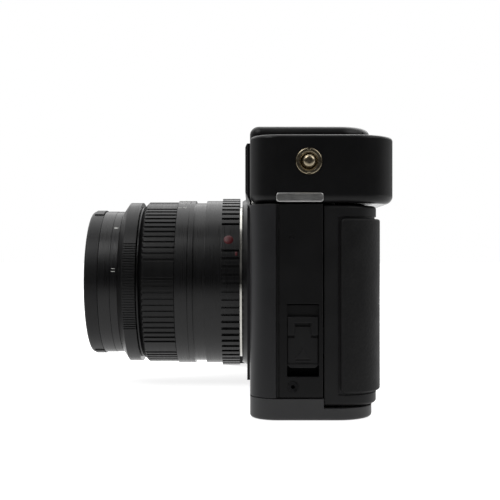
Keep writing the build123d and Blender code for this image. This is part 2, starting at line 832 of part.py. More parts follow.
# Chassis: the die casting that everything is built on
chassis_half = inner_half - body_gap
chassis_front_y = front_y + wall + body_gap
chassis_z = (base_floor + 0.4, top_bottom_z - 0.3)
chassis_step_r = 0.5
chassis_rear_r = 10.0
rear_half = door_half - door_wall - 0.4
chassis_back_y = film_y - rail_step
battery_box_gap = 0.25
battery_box_z = (battery_bottom_z - 0.6, battery_bottom_z + battery_length + 3.0)
battery_bore_top_z = battery_bottom_z + battery_length + 0.5
hatch_room = (0.3, 0.4)
lock_from_battery = 5.4
lock_y = battery_y + lock_from_battery
lock_r, lock_head_r = 1.5, 2.4
lock_top_z = 8.0
light_box_deep = 11.5
light_flare_y = -8.0
light_margin = 1.0
mask_slot_room = (0.7, 0.4)
latch_room_x = half - 5.4
latch_room_y = (-7.8, 9.0)
latch_room_z = (11.4, 35.4)
catch_way_z = (16.5, 27.5)
catch_way_y = 0.0
inner_rail_z = gate_height / 2 + 0.9
outer_rail_z = film_height / 2 + 0.8
rewind_room_r = rewind_r + 0.8
release_stem = 5.0
release_back = 0.6
knuckle_foot_z = door_bottom_z + 1.9
pivot_deep = 3.5
sprocket_pivot_deep = 4.0

with BuildPart() as chassis:
    with BuildSketch(Plane.XY.offset(chassis_z[0])):
        add(cover_plan(chassis_half, chassis_front_y, end_back_y, front_corner_r - wall, chassis_step_r))
        with Locations((0, (end_back_y - 1 + chassis_back_y) / 2)):
            Rectangle(2 * rear_half, chassis_back_y - end_back_y + 1)
    extrude(amount=chassis_z[1] - chassis_z[0])
    fillet(chassis.edges().filter_by(Axis.Z).group_by(Axis.Y)[-1], chassis_rear_r)
    # Room for the door's lower edge
    block((-far, far), (end_back_y, far), (0, door_bottom_z + door_wall), mode=Mode.SUBTRACT)
    # Battery box inside the grip
    raise_plan(grip_plan(wall + battery_box_gap), battery_box_z)
    for x, y in battery_at:
        post(x, y, (0, battery_bore_top_z), battery_r + battery_room, mode=Mode.SUBTRACT)
    raise_plan(
        hatch_plan(hatch_room[0]), (0, grip_bottom_z + hatch_thick + hatch_room[1]), mode=Mode.SUBTRACT
    )
    # Light box, from the mount back to the shutter
    lens_ring((-light_box_deep, wall), bayonet_bore_r, mode=Mode.SUBTRACT)
    block(
        around(0, gate_width + 2 * light_margin),
        (light_flare_y, shutter_y),
        (gate_bottom_z - light_margin, gate_top_z + light_margin),
        mode=Mode.SUBTRACT,
    )
    # Shutter room, open at the top, then the film gate and the slot for the masks
    block(
        (-shutter_room_half, shutter_room_half),
        (shutter_y, shutter_back_y),
        (shutter_floor_z, far),
        mode=Mode.SUBTRACT,
    )
    block(around(0, gate_width), (0, far), (gate_bottom_z, gate_top_z), mode=Mode.SUBTRACT)
    block(
        around(0, 2 * (mask_far_x + mask_slot_room[0])),
        (mask_y - mask_clearance, mask_y + mask_thick + mask_clearance),
        around(lens_z, 2 * (mask_half_z + mask_slot_room[1])),
        mode=Mode.SUBTRACT,
    )
    # Film rails
    for side in (-1, 1):
        block(
            (-rail_half, rail_half),
            (chassis_back_y - 1, film_y),
            around(lens_z + side * inner_rail_z, rail_width),
        )
        block(
            (-rail_half, rail_half),
            (chassis_back_y - 1, film_y + rail_step),
            around(lens_z + side * outer_rail_z, rail_width),
        )
    # Cassette chamber, take-up chamber and sprocket bay, each open to the back
    post(cassette_x, chamber_y, cassette_z, cassette_r, mode=Mode.SUBTRACT)
    block(around(cassette_x, 2 * cassette_r), (chamber_y, far), cassette_z, mode=Mode.SUBTRACT)
    post(spool_x, chamber_y, spool_room_z, spool_room_r, mode=Mode.SUBTRACT)
    block(around(spool_x, 2 * spool_room_r), (chamber_y, far), spool_room_z, mode=Mode.SUBTRACT)
    bay_r = sprocket_r + sprocket_room
    post(sprocket_x, sprocket_y, sprocket_room_z, bay_r, mode=Mode.SUBTRACT)
    block((spool_x, sprocket_x + bay_r), (sprocket_y, far), sprocket_room_z, mode=Mode.SUBTRACT)
    # Shaft holes
    post(cassette_x, chamber_y, (lens_z, far), fork_r + shaft_clearance, mode=Mode.SUBTRACT)
    post(
        spool_x,
        chamber_y,
        (spool_room_z[0] - pivot_deep, far),
        spool_pivot_r + shaft_clearance,
        mode=Mode.SUBTRACT,
    )
    post(
        sprocket_x,
        sprocket_y,
        (sprocket_room_z[0] - sprocket_pivot_deep, far),
        sprocket_pivot_r + shaft_clearance,
        mode=Mode.SUBTRACT,
    )
    # Latch room in the left end, with the way in for the door catch
    block((latch_room_x, far), (latch_room_y[0], end_back_y), latch_room_z, mode=Mode.SUBTRACT)
    block((latch_room_x, far), (catch_way_y, far), catch_way_z, mode=Mode.SUBTRACT)
    # Hinge bay in the right end
    block((-far, hinge_x + hinge_r + hinge_room), (end_back_y, far), (0, far), mode=Mode.SUBTRACT)
    # Room for the tripod bush, the rewind button, the sync socket and the release button
    post(0, 0, (0, bush_height), bush_r, mode=Mode.SUBTRACT)
    post(rewind_x, rewind_y, (0, 9), rewind_room_r, mode=Mode.SUBTRACT)
    side_pin(sync_y, sync_z, (half - sync_sunk - sync_length, far), sync_r, mode=Mode.SUBTRACT)
    lens_pins((-9, 3), [release_from_axis], release_stem_r + shaft_clearance, mode=Mode.SUBTRACT)
    # Screw holes
    post(battery_x, lock_y, (0, lock_top_z + 1), lock_r + shaft_clearance, mode=Mode.SUBTRACT)
    with BuildSketch(lens_plane(-9)):
        with PolarLocations(bayonet_screw_at, bayonet_screws):
            Circle(screw_r)
    extrude(amount=12, mode=Mode.SUBTRACT)
    for x, y in base_screws_at:
        post(x, y, (0, base_floor + screw_length), screw_r, mode=Mode.SUBTRACT)
    # Fixed hinge knuckles above and below the door's own, with a web to the casting
    for low, high in (
        (knuckle_foot_z, hinge_ends_z[0] - knuckle_gap),
        (hinge_ends_z[1] + knuckle_gap, chassis_z[1]),
    ):
        post(hinge_x, hinge_y, (low, high), hinge_r)
        block((hinge_x, hinge_x + hinge_r + 0.8), (end_back_y - 0.5, hinge_y + 0.9), (low, high))
        block((hinge_x - 0.2, hinge_x + 1.5), (end_back_y - 0.9, hinge_y), (low, high))
    post(hinge_x, hinge_y, (0, far), hinge_pin_r, mode=Mode.SUBTRACT)
save(chassis, "chassis")

# Mount: black boss on the plinth, and the body's bayonet ring with three claws
boss_bevel = 1.0
claw_d = (1.2, 2.4)
claw_deg = 58.0
claw_angles = (90, 210, 330)

with BuildPart() as mount_boss:
    turned([
        (0, mount_hole_r),
        (0, boss_r),
        (plinth_proud, boss_r),
        (mount_d, boss_r - boss_bevel),
        (mount_d, mount_hole_r),
    ])
save(mount_boss, "mount_boss")

with BuildPart() as body_bayonet:
    lens_ring((front_y - chassis_front_y, mount_d), flange_r, bayonet_bore_r)
    for angle in claw_angles:
        lens_sector(claw_d, claw_r, bayonet_bore_r + 0.5, angle, claw_deg)
    with BuildSketch(lens_plane(mount_d)):
        with PolarLocations(bayonet_screw_at, bayonet_screws):
            Circle(screw_head_r)
    extrude(amount=-screw_head - screw_sunk, mode=Mode.SUBTRACT)
    with BuildSketch(lens_plane(mount_d)):
        with PolarLocations(bayonet_screw_at, bayonet_screws):
            Circle(screw_r)
    extrude(amount=-3 * wall, mode=Mode.SUBTRACT)
save(body_bayonet, "body_bayonet")

# Screws under the base and in the bayonet ring
with BuildPart() as body_screws:
    for x, y in base_screws_at:
        post(x, y, (screw_sunk, screw_head), screw_head_r)
        post(x, y, (screw_head, base_floor + screw_length), screw_r)
        block(
            around(x, screw_slot[0]),
            around(y, screw_slot[1]),
            (screw_sunk, screw_sunk + screw_slot[2]),
            mode=Mode.SUBTRACT,
        )
    head_d = mount_d - screw_head - screw_sunk
    with BuildSketch(lens_plane(head_d)):
        with PolarLocations(bayonet_screw_at, bayonet_screws):
            Circle(screw_head_r)
    extrude(amount=screw_head - screw_sunk)
    with BuildSketch(lens_plane(head_d)):
        with PolarLocations(bayonet_screw_at, bayonet_screws):
            Circle(screw_r)
    extrude(amount=-bayonet_screw_length)
save(body_screws, "body_screws")

# Shutter: a frame with two side rails, and two leaves to each curtain
leaf_half = gate_width / 2 + 6.0
leaf_height = gate_height / 2 + leaf_cover
leaf_front_gap = 0.15
lead_lap = 0.8
trail_lap = 0.2
rail_in = leaf_half + 0.4
frame_plate = 0.9
frame_rail_back = 2.2
leaf_front_y = shutter_y + frame_plate + leaf_front_gap
frame_z = (shutter_floor_z, chassis_z[1] - 0.3)

with BuildPart() as shutter_frame:
    block((-shutter_room_half, shutter_room_half), (shutter_y, shutter_y + frame_plate), frame_z)
    block(
        around(0, gate_width + 2 * light_margin),
        (0, shutter_back_y),
        (gate_bottom_z - light_margin, gate_top_z + light_margin),
        mode=Mode.SUBTRACT,
    )
    for side in (-1, 1):
        block(
            (side * rail_in, side * shutter_room_half),
            (shutter_y, leaf_front_y + frame_rail_back),
            frame_z,
        )
save(shutter_frame, "shutter_frame")

# The lead curtain covers the gate and falls clear; the trail curtain waits above it and falls to cover it
for name, layer, bottom_z in (
    ("lead_leaf_upper", 0, gate_top_z + lead_lap - leaf_height),
    ("lead_leaf_lower", 1, gate_bottom_z - lead_lap),
    ("trail_leaf_lower", 3, gate_top_z + trail_lap),
    ("trail_leaf_upper", 4, gate_top_z + trail_lap),
):
    leaf_y = leaf_front_y + layer * leaf_step
    with BuildPart() as leaf:
        block((-leaf_half, leaf_half), (leaf_y, leaf_y + leaf_thick), (bottom_z, bottom_z + leaf_height))
    save(leaf, name)

# Format masks, parked beside the gate
for side, name in ((1, "mask_left"), (-1, "mask_right")):
    with BuildPart() as mask:
        block(
            (side * mask_near_x, side * mask_far_x),
            (mask_y, mask_y + mask_thick),
            around(lens_z, 2 * mask_half_z),
        )
    save(mask, name)

# Base fittings
rewind_z = (0.3, 1.9, 2.7, 7.5)
rewind_collar = 0.5
rewind_stem_r = 1.2
contact_r = 2.0
contact_gap = 0.05
lock_head = 0.8
lock_head_gap = (0.15, 0.1)
lock_slot = (0.8, 0.4)

with BuildPart() as tripod_bush:
    post(0, 0, (0, bush_height), bush_r)
    post(0, 0, (0, bush_height), socket_r, mode=Mode.SUBTRACT)
save(tripod_bush, "tripod_bush")

with BuildPart() as rewind_button:
    post(rewind_x, rewind_y, rewind_z[0:2], rewind_r)
    post(rewind_x, rewind_y, rewind_z[1:3], rewind_r + rewind_collar)
    post(rewind_x, rewind_y, rewind_z[2:4], rewind_stem_r)
save(rewind_button, "rewind_button")

with BuildPart() as batteries:
    for x, y in battery_at:
        top = battery_bottom_z + battery_length
        post(x, y, (battery_bottom_z, top - battery_cap), battery_r)
        post(x, y, (top - battery_cap, top), battery_cap_r)
save(batteries, "batteries")

with BuildPart() as battery_cover:
    raise_plan(hatch_plan(0), (grip_bottom_z, grip_bottom_z + hatch_thick))
    for x, y in battery_at:
        post(x, y, (grip_bottom_z + hatch_thick, battery_bottom_z - contact_gap), contact_r)
    post(battery_x, lock_y, (0, far), lock_r + shaft_clearance, mode=Mode.SUBTRACT)
    post(
        battery_x,
        lock_y,
        (0, grip_bottom_z + lock_head + lock_head_gap[1]),
        lock_head_r + lock_head_gap[0],
        mode=Mode.SUBTRACT,
    )
save(battery_cover, "battery_cover")

with BuildPart() as battery_lock:
    post(battery_x, lock_y, (grip_bottom_z, grip_bottom_z + lock_head), lock_head_r)
    post(battery_x, lock_y, (grip_bottom_z + lock_head, lock_top_z), lock_r)
    block(
        around(battery_x, 4 * lock_head_r),
        around(lock_y, lock_slot[0]),
        (0, grip_bottom_z + lock_slot[1]),
        mode=Mode.SUBTRACT,
    )
save(battery_lock, "battery_lock")

# Sync socket on the left end
sync_face_x = half - sync_sunk
with BuildPart() as sync_socket:
    side_pin(sync_y, sync_z, (sync_face_x - sync_length, sync_face_x), sync_r)
    side_pin(sync_y, sync_z, (sync_face_x - sync_bore, far), sync_bore_r, mode=Mode.SUBTRACT)
save(sync_socket, "sync_socket")

# Lens release button, in the plinth beside the mount
release_height = 3.5
release_edge_r = 0.5
with BuildPart() as lens_release:
    lens_pins((-release_back, release_height - release_back), [release_from_axis], release_r)
    fillet(lens_release.edges().group_by(Axis.Y)[0], release_edge_r)
    lens_pins((-release_back - release_stem, -release_back), [release_from_axis], release_stem_r)
save(lens_release, "lens_release")

# Film transport
spool_z = (14.0, 56.2)
spool_flange = 0.8
spool_flange_step = 1.5
spool_slot = (4.0, 1.2)
spool_slot_z = (20.0, 50.0)
spool_pivot_z = (10.0, 61.5)
with BuildPart() as take_up_spool:
    post(spool_x, chamber_y, spool_z, spool_r)
    for z in (spool_z[0], spool_z[1] - spool_flange):
        post(spool_x, chamber_y, (z, z + spool_flange), spool_r + spool_flange_step)
    with BuildSketch(Plane.XY.offset(spool_slot_z[0])):
        with Locations((spool_x, chamber_y)):
            with PolarLocations(spool_r, 3):
                Rectangle(spool_slot[0], spool_slot[1])
    extrude(amount=spool_slot_z[1] - spool_slot_z[0], mode=Mode.SUBTRACT)
    post(spool_x, chamber_y, (spool_pivot_z[0], spool_z[0]), spool_pivot_r)
    post(spool_x, chamber_y, (spool_z[1], spool_pivot_z[1]), spool_pivot_r)
save(take_up_spool, "take_up_spool")

fork_z = (49.5, 53.0)
fork_hub = (50.5, 2.0)
fork_blade = (8.4, 1.4)
fork_shaft_z = (52.0, 61.2)
fork_rim = (59.75, 1.5)
with BuildPart() as drive_fork:
    post(cassette_x, chamber_y, fork_shaft_z, fork_r)
    post(cassette_x, chamber_y, (fork_rim[0], fork_shaft_z[1]), fork_r + fork_rim[1])
    block(around(cassette_x, fork_blade[0]), around(chamber_y, fork_blade[1]), fork_z)
    post(cassette_x, chamber_y, (fork_hub[0], fork_z[1]), fork_hub[1])
save(drive_fork, "drive_fork")

perforation_z = 14.1
sprocket_waist = 1.9
sprocket_z = (17.0, 54.0)
sprocket_half = 3.6
sprocket_teeth = 16
tooth_reach, tooth_width, tooth_height = 0.8, 1.1, 1.2
sprocket_pivot_z = (12.0, 60.8)
with BuildPart() as sprocket_shaft:
    post(sprocket_x, sprocket_y, sprocket_z, sprocket_r - sprocket_waist)
    for z in (lens_z - perforation_z, lens_z + perforation_z):
        post(sprocket_x, sprocket_y, (z - sprocket_half, z + sprocket_half), sprocket_r)
        for tooth in range(sprocket_teeth // 2):
            with BuildSketch(Plane.XY.offset(z - tooth_height / 2)):
                with Locations((sprocket_x, sprocket_y)):
                    Rectangle(
                        2 * (sprocket_r + tooth_reach), tooth_width, rotation=360 / sprocket_teeth * tooth
                    )
            extrude(amount=tooth_height)
    post(sprocket_x, sprocket_y, sprocket_pivot_z, sprocket_pivot_r)
save(sprocket_shaft, "sprocket_shaft")

# Back door: a tray that wraps round both rear corners, hinged at the right end
door_lip_y = film_y + rail_step + 0.1
catch_x = (half - 4.9, half - 3.55)
catch_y = (-3.0, 7.5)
catch_z = (18.0, 25.4)
catch_notch_y = (-1.6, 0.4)
catch_notch_z = 22.6
catch_root_y = 4.2
plate_z_half = 18.9
plate_half = 39.0
plate_thick = 1.0
plate_gap = 0.05
guide_pin_r = 1.2
guide_pin_room = 0.25
guide_x = 34.0
guide_reach = 2.2

inside = cover_plan(door_half - door_wall, front_y - 1, door_back_y - door_wall, 0, door_corner_r - door_wall)

# The door's upper and lower walls stop behind the chassis, and its corner walls run on
with BuildSketch() as ahead_of_lip:
    add(inside)
    with Locations((0, door_lip_y + far / 2)):
        Rectangle(2 * far, far, mode=Mode.SUBTRACT)

# The pad lies in a shallow recess, with an open groove round it
pad_floor = cover_plan(
    door_half - pad_recess, front_y - 1, door_back_y - pad_recess, 0, door_corner_r - pad_recess
)
with BuildPart() as pad_bed:
    block(
        (pad_right_inset - half - pad_gap, far),
        (pad_front_y - pad_gap, far),
        (pad_z[0] - pad_gap, pad_z[1] + pad_gap),
    )
    raise_plan(pad_floor, (0, far), mode=Mode.SUBTRACT)

with BuildPart() as back_door:
    raise_plan(cover_plan(door_half, front_y, door_back_y, 0, door_corner_r), (door_bottom_z, door_top_z))
    fillet(back_door.edges().group_by(Axis.Z)[0] + back_door.edges().group_by(Axis.Z)[-1], door_edge_r)
    raise_plan(inside, (door_bottom_z + door_wall, door_top_z - door_wall), mode=Mode.SUBTRACT)
    raise_plan(ahead_of_lip.sketch, (0, far), mode=Mode.SUBTRACT)
    block((-far, far), (-far, door_front_y), (0, far), mode=Mode.SUBTRACT)
    block((-far, 0), (-far, hinge_y), (0, far), mode=Mode.SUBTRACT)
    for z_range in ((0, hinge_ends_z[0]), (hinge_ends_z[1], far)):
        post(hinge_x, hinge_y, z_range, hinge_r + hinge_room, mode=Mode.SUBTRACT)
    post(hinge_x, hinge_y, hinge_ends_z, hinge_r)
    post(hinge_x, hinge_y, (0, far), hinge_pin_r + pin_clearance, mode=Mode.SUBTRACT)
    block(catch_x, catch_y, catch_z)
    block((catch_x[0], door_half - 1), (catch_root_y, catch_y[1]), catch_z)
    block((catch_x[0] - 1, catch_x[1] + 1), catch_notch_y, (catch_notch_z, far), mode=Mode.SUBTRACT)
    with BuildSketch(Plane.XZ.offset(-door_back_y + door_wall / 2)):
        with Locations((-guide_x, lens_z), (guide_x, lens_z)):
            Circle(guide_pin_r)
    extrude(amount=door_wall / 2 + guide_reach)
    add(pad_bed.part, mode=Mode.SUBTRACT)
save(back_door, "back_door")

with BuildPart() as door_pad:
    raise_plan(cover_plan(half, front_y, door_back_y + pad_thick, 0, door_corner_r + pad_thick), pad_z)
    raise_plan(pad_floor, (0, far), mode=Mode.SUBTRACT)
    block((-far, far), (-far, pad_front_y), (0, far), mode=Mode.SUBTRACT)
    block((-far, pad_right_inset - half), (-far, far), (0, far), mode=Mode.SUBTRACT)
    fillet(door_pad.edges().filter_by(Axis.X).group_by(Axis.Y)[0], pad_edge_r)
    skin_mid = pad_thick / 2
    rims = [
        edge
        for face in (door_pad.faces().sort_by(Axis.Z)[0], door_pad.faces().sort_by(Axis.Z)[-1])
        for edge in face.edges()
        if edge.position_at(0.5).X > door_half + skin_mid
        or edge.position_at(0.5).Y > door_back_y + skin_mid
        or (edge.geom_type == GeomType.CIRCLE and edge.radius > door_corner_r + skin_mid)
    ]
    fillet(rims, pad_rim_r)
save(door_pad, "door_pad")

with BuildPart() as hinge_pin:
    post(hinge_x, hinge_y, (knuckle_foot_z, chassis_z[1]), hinge_pin_r)
save(hinge_pin, "hinge_pin")

plate_y = film_y + rail_step + plate_gap
plate_corner_r = 2.0
with BuildPart() as pressure_plate:
    block((-plate_half, plate_half), (plate_y, plate_y + plate_thick), around(lens_z, 2 * plate_z_half))
    fillet(pressure_plate.edges().filter_by(Axis.Y), plate_corner_r)
    with BuildSketch(Plane.XZ.offset(-door_back_y)):
        with Locations((-guide_x, lens_z), (guide_x, lens_z)):
            Circle(guide_pin_r + guide_pin_room)
    extrude(amount=2 * guide_reach + door_wall, mode=Mode.SUBTRACT)
save(pressure_plate, "pressure_plate")

# Leaf springs behind the pressure plate: two arched strips
spring_back_y = door_back_y - door_wall
spring_front_y = plate_y + plate_thick
spring_sheet = 0.25
spring_x = 18.0
spring_half = 12.0
spring_foot = 0.6
spring_width = 8.0
with BuildPart() as pressure_springs:
    for x in (-spring_x, spring_x):
        with BuildSketch(Plane.XY.offset(lens_z - spring_width / 2)):
            with BuildLine():
                left, right = x - spring_half, x + spring_half
                outer_left, outer_right = left - spring_foot, right + spring_foot
                inner_top = (x, spring_front_y + spring_sheet)
                ThreePointArc((left, spring_back_y), inner_top, (right, spring_back_y))
                Line((right, spring_back_y), (outer_right, spring_back_y))
                ThreePointArc((outer_right, spring_back_y), (x, spring_front_y), (outer_left, spring_back_y))
                Line((outer_left, spring_back_y), (left, spring_back_y))
            make_face()
        extrude(amount=spring_width)
save(pressure_springs, "pressure_springs")

# Door latch: the slider seen in its recess, and the hook behind it
slider_y = (-6.6, 1.7)
slider_z = (14.5, 28.5)
slider_mid_y = (slider_y[0] + slider_y[1]) / 2
slider_face_x = half - 0.9
slider_rim = 0.55
slider_plate_x = inner_half - 0.15
slider_plate = 0.45
slider_plate_y = (-7.4, 2.5)
slider_plate_z = (14.9, 31.7)
slider_corner_r = 1.2
bar_z = (26.9, slider_z[1])
foot_z = (slider_z[0], slider_z[0] + 1.0)
shoulder_width = 1.7
shoulder_bar_z = (23.5, 27.5)
notch_z = (22.8, 23.5)
notch_x = half - 1.7
slot_z = (25.8, 26.9)
slot_half = 2.15
slot_x = half - 1.8
mark_half = 2.1
mark_z = (17.0, 19.6)
underline = (16.3, 0.4)
mark_proud = 0.3
hook_y, hook_z, hook_r = -0.6, 23.6, 0.8
hook_arm_y = (-5.0, 1.4)
hook_arm_z = (17.0, 27.0)
hook_gap = 0.25
hook_reach = 0.1
with BuildPart() as latch_slider:
    block((slider_plate_x, slider_face_x), slider_y, slider_z)
    for z_range in (foot_z, bar_z):
        block((slider_face_x, slider_face_x + slider_rim), slider_y, z_range)
    for y in (slider_y[0], slider_y[1] - shoulder_width):
        block((slider_face_x, slider_face_x + slider_rim), (y, y + shoulder_width), shoulder_bar_z)
    fillet(latch_slider.edges().filter_by(Axis.X).group_by(Axis.Z)[0], slider_corner_r)
    block((slot_x, far), around(slider_mid_y, 2 * slot_half), slot_z, mode=Mode.SUBTRACT)
    for y in (slider_y[0], slider_y[1] - shoulder_width):
        block((notch_x, far), (y - 0.1, y + shoulder_width + 0.1), notch_z, mode=Mode.SUBTRACT)
    with BuildSketch(Plane.YZ.offset(slider_face_x)):
        with BuildLine():
            Polyline(
                (slider_mid_y - mark_half, mark_z[0]),
                (slider_mid_y + mark_half, mark_z[0]),
                (slider_mid_y, mark_z[1]),
                close=True,
            )
        make_face()
        with Locations((slider_mid_y, underline[0])):
            Rectangle(2 * mark_half, underline[1])
    extrude(amount=mark_proud)
    block((slider_plate_x - slider_plate, slider_plate_x), slider_plate_y, slider_plate_z)
save(latch_slider, "latch_slider")

with BuildPart() as latch_hook:
    block((catch_x[1] + hook_gap, slider_plate_x - slider_plate), hook_arm_y, hook_arm_z)
    side_pin(hook_y, hook_z, (catch_x[0] - hook_reach, catch_x[1] + hook_gap), hook_r)
save(latch_hook, "latch_hook")

# Lens: chrome flange with its bayonet tabs
flange_gap = 0.05
tab_d = (-0.2, 1.0)
tab_deg = 50.0
with BuildPart() as lens_flange:
    lens_ring((mount_d + flange_gap, flange_top_d), flange_r, bayonet_r - bayonet_wall)
    lens_ring((tab_d[0], mount_d + flange_gap), bayonet_r, bayonet_r - bayonet_wall)
    for angle in claw_angles:
        lens_sector(tab_d, bayonet_r - 0.4, bayonet_tab_r, angle, tab_deg)
save(lens_flange, "lens_flange")

# Lens barrel: ribbed grip collar, rear barrel with its waist, and the sleeve under the focus ring
collar_ribs = 70
collar_groove = (1.15, 0.75)
collar_start = 21.7
collar_pad = (32.0, 20.0)
collar_root = 1.0
groove_deep = 0.35
barrel_floor = 2.0
with BuildPart() as lens_barrel:
    angles = groove_angles(collar_ribs, collar_start, [collar_pad[0]], collar_pad[1])
    ribbed_ring(
        (flange_top_d, collar_d), collar_r, angles, collar_groove[0], collar_groove[1], collar_r - 3.0
    )
    turned([
        (flange_top_d, claw_r),
        (flange_top_d, collar_r - collar_root),
        (collar_d, collar_r - collar_root),
        (collar_d, barrel_r),
        (waist_d[0], barrel_r),
        (waist_d[0], waist_r),
        (waist_d[1], waist_r),
        (waist_d[1], barrel_r),
        (groove_d[0], barrel_r),
        (groove_d[0], barrel_r - groove_deep),
        (groove_d[1], barrel_r - groove_deep),
        (groove_d[1], barrel_r),
        (barrel_d, barrel_r),
        (barrel_d, sleeve_r),
        (sleeve_front_d, sleeve_r),
        (sleeve_front_d, head_bore_r),
        (flange_top_d + barrel_floor, head_bore_r),
        (flange_top_d + barrel_floor, claw_r),
    ])
save(lens_barrel, "lens_barrel")

focus_ribs = 84
focus_groove = (0.95, 0.45)
focus_start = 3.6
focus_flats = 6
focus_flat = (10.0, 12.0)
focus_chamfer = 1.6
with BuildPart() as focus_ring:
    flats = [focus_flat[0] + 360 / focus_flats * step for step in range(focus_flats)]
    angles = groove_angles(focus_ribs, focus_start, flats, focus_flat[1])
    ribbed_ring(focus_d, focus_r, angles, focus_groove[0], focus_groove[1], sleeve_r + ring_clearance)
    turned(
        [
            (focus_d[1] - focus_chamfer - 0.1, focus_r + 0.1),
            (focus_d[1] + 0.1, focus_r - focus_chamfer - 0.1),
            (focus_d[1] + 0.1, focus_r + 1),
            (focus_d[1] - focus_chamfer - 0.1, focus_r + 1),
        ],
        mode=Mode.SUBTRACT,
    )
save(focus_ring, "focus_ring")

# Lens head: the part that moves out in focusing, with stop flange, number band and filter thread
thread_depth = 2.9
iris_hole_r = 8.0
with BuildPart() as lens_head:
    turned([
        (head_rear_d, head_tube_r),
        (head_rear_d, head_r),
        (stop_d[0], head_r),
        (stop_d[0], stop_r),
        (stop_d[1], stop_r),
        (stop_d[1], ring_seat_r),
        (band_d[0], ring_seat_r),
        (band_d[0], band_r),
        (band_d[1], band_r),
        (band_d[1], thread_r),
        (band_d[1] - thread_depth, thread_r),
        (band_d[1] - thread_depth, head_tube_r),
    ])
    lens_ring(diaphragm_d, head_tube_r + 0.1, iris_hole_r)
save(lens_head, "lens_head")

grip_starts = (-32, 148)
grip_turn = 62
grip_grooves = 34
grip_groove = (0.3, 0.45)
with BuildPart() as aperture_ring:
    turned([
        (aperture_d[0], ring_seat_r + ring_clearance),
        (aperture_d[0], aperture_r),
        (aperture_d[1], aperture_r),
        (aperture_d[2], nose_r),
        (aperture_d[2], ring_seat_r + ring_clearance),
    ])
    with BuildSketch(lens_plane(aperture_d[0] - 0.1)):
        for start in grip_starts:
            with PolarLocations(aperture_r, grip_grooves, start_angle=start, angular_range=grip_turn):
                Rectangle(2 * grip_groove[0], grip_groove[1])
    extrude(amount=aperture_d[1] - aperture_d[0] + 0.7, mode=Mode.SUBTRACT)
save(aperture_ring, "aperture_ring")


def glass(d_range, radius, back_bulge, front_bulge):
    """A lens element: two spherical faces (a negative bulge is hollow) and a ground rim."""

    def face_point(rim_d, bulge, sign, r):
        ball = (radius**2 + bulge**2) / (2 * abs(bulge))
        sag = ball - sqrt(ball**2 - r**2)
        return front_y - (rim_d + sign * (bulge - (1 if bulge > 0 else -1) * sag)), lens_z + r

    back_rim = (front_y - d_range[0], lens_z + radius)
    front_rim = (front_y - d_range[1], lens_z + radius)
    with BuildSketch(Plane.YZ) as profile:
        with BuildLine():
            back = [face_point(d_range[0], back_bulge, -1, r) for r in (0, radius / 2)]
            front = [face_point(d_range[1], front_bulge, 1, r) for r in (0, radius / 2)]
            ThreePointArc(back[0], back[1], back_rim)
            Line(back_rim, front_rim)
            ThreePointArc(front_rim, front[1], front[0])
            Line(front[0], back[0])
        make_face()
    revolve(profile.sketch, axis=lens_axis)


glass_fit = 0.05
inner_glass_r = head_tube_r - 6.5
with BuildPart() as lens_elements:
    glass((35.5, 40.5), head_tube_r - glass_fit, -1.0, 2.4)
    glass((28.0, 31.0), inner_glass_r, -1.2, 1.6)
    glass((17.0, 20.5), inner_glass_r, 1.6, -1.2)
    glass((10.0, 13.0), head_tube_r - glass_fit, 1.4, -0.8)
save(lens_elements, "lens_elements")

blade_count = 9
blade_gap_deg = 1.5
blade_r = (6.0, head_tube_r - 1.0)
blade_d = (diaphragm_d[1] + 0.1, diaphragm_d[1] + 0.3)
with BuildPart() as iris_blades:
    for blade in range(blade_count):
        turn = 360 / blade_count
        lens_sector(blade_d, blade_r[0], blade_r[1], turn * blade, turn - blade_gap_deg)
save(iris_blades, "iris_blades")

filter_lip = 1.0
filter_fit = 0.05
filter_tail_d = 45.2
filter_seat = 0.4
with BuildPart() as filter_ring:
    turned([
        (filter_tail_d, thread_r - filter_lip),
        (filter_tail_d, thread_r - filter_fit),
        (filter_d[0], thread_r - filter_fit),
        (filter_d[0], filter_r),
        (filter_d[1], filter_r),
        (filter_d[1], thread_r),
        (filter_glass_d[1] + filter_seat, thread_r),
        (filter_glass_d[1] + filter_seat, thread_r - filter_lip),
    ])
save(filter_ring, "filter_ring")

with BuildPart() as filter_glass:
    lens_ring(filter_glass_d, thread_r - filter_lip)
save(filter_glass, "filter_glass")

# Lens cap and its two pinch tabs
cap_plate = 1.2
cap_skin = 1.3
cap_round = 1.0
cap_tab_half = 9.0
tab_gap = 0.25
tab_in_r = 14.0
with BuildPart() as lens_cap:
    lens_ring(cap_d, filter_r)
    fillet(lens_cap.edges().group_by(Axis.Y)[0], cap_round)
    lens_ring((cap_d[0] - 1, cap_d[1] - cap_plate), filter_r - cap_skin, mode=Mode.SUBTRACT)
    for side in (-1, 1):
        block(
            around(0, 2 * (cap_tab_half + tab_gap)),
            (front_y - cap_d[1] + cap_plate, front_y - cap_d[0] + 1),
            (lens_z + side * tab_in_r, lens_z + side * far),
            mode=Mode.SUBTRACT,
        )
save(lens_cap, "lens_cap")

tab_body_d = (cap_d[0] + 0.2, cap_d[1] - cap_plate - 0.2)
hold_d = filter_glass_d[1] + 0.9
hold_r = (thread_r - 1.7, thread_r - 0.12)
hold_deg = 38
for side, name in ((1, "cap_tab_top"), (-1, "cap_tab_bottom")):
    with BuildPart() as cap_tab:
        lens_ring(tab_body_d, cap_tab_r)
        block(
            (-cap_tab_half, cap_tab_half),
            (front_y - tab_body_d[1] - 1, front_y - tab_body_d[0] + 1),
            (lens_z + side * tab_in_r, lens_z + side * far),
            mode=Mode.INTERSECT,
        )
        lens_sector((hold_d, tab_body_d[0]), hold_r[0], hold_r[1], side * 90, hold_deg)
    save(cap_tab, name)
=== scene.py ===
from math import cos, radians, sin

import bpy
from mathutils import Matrix, Vector


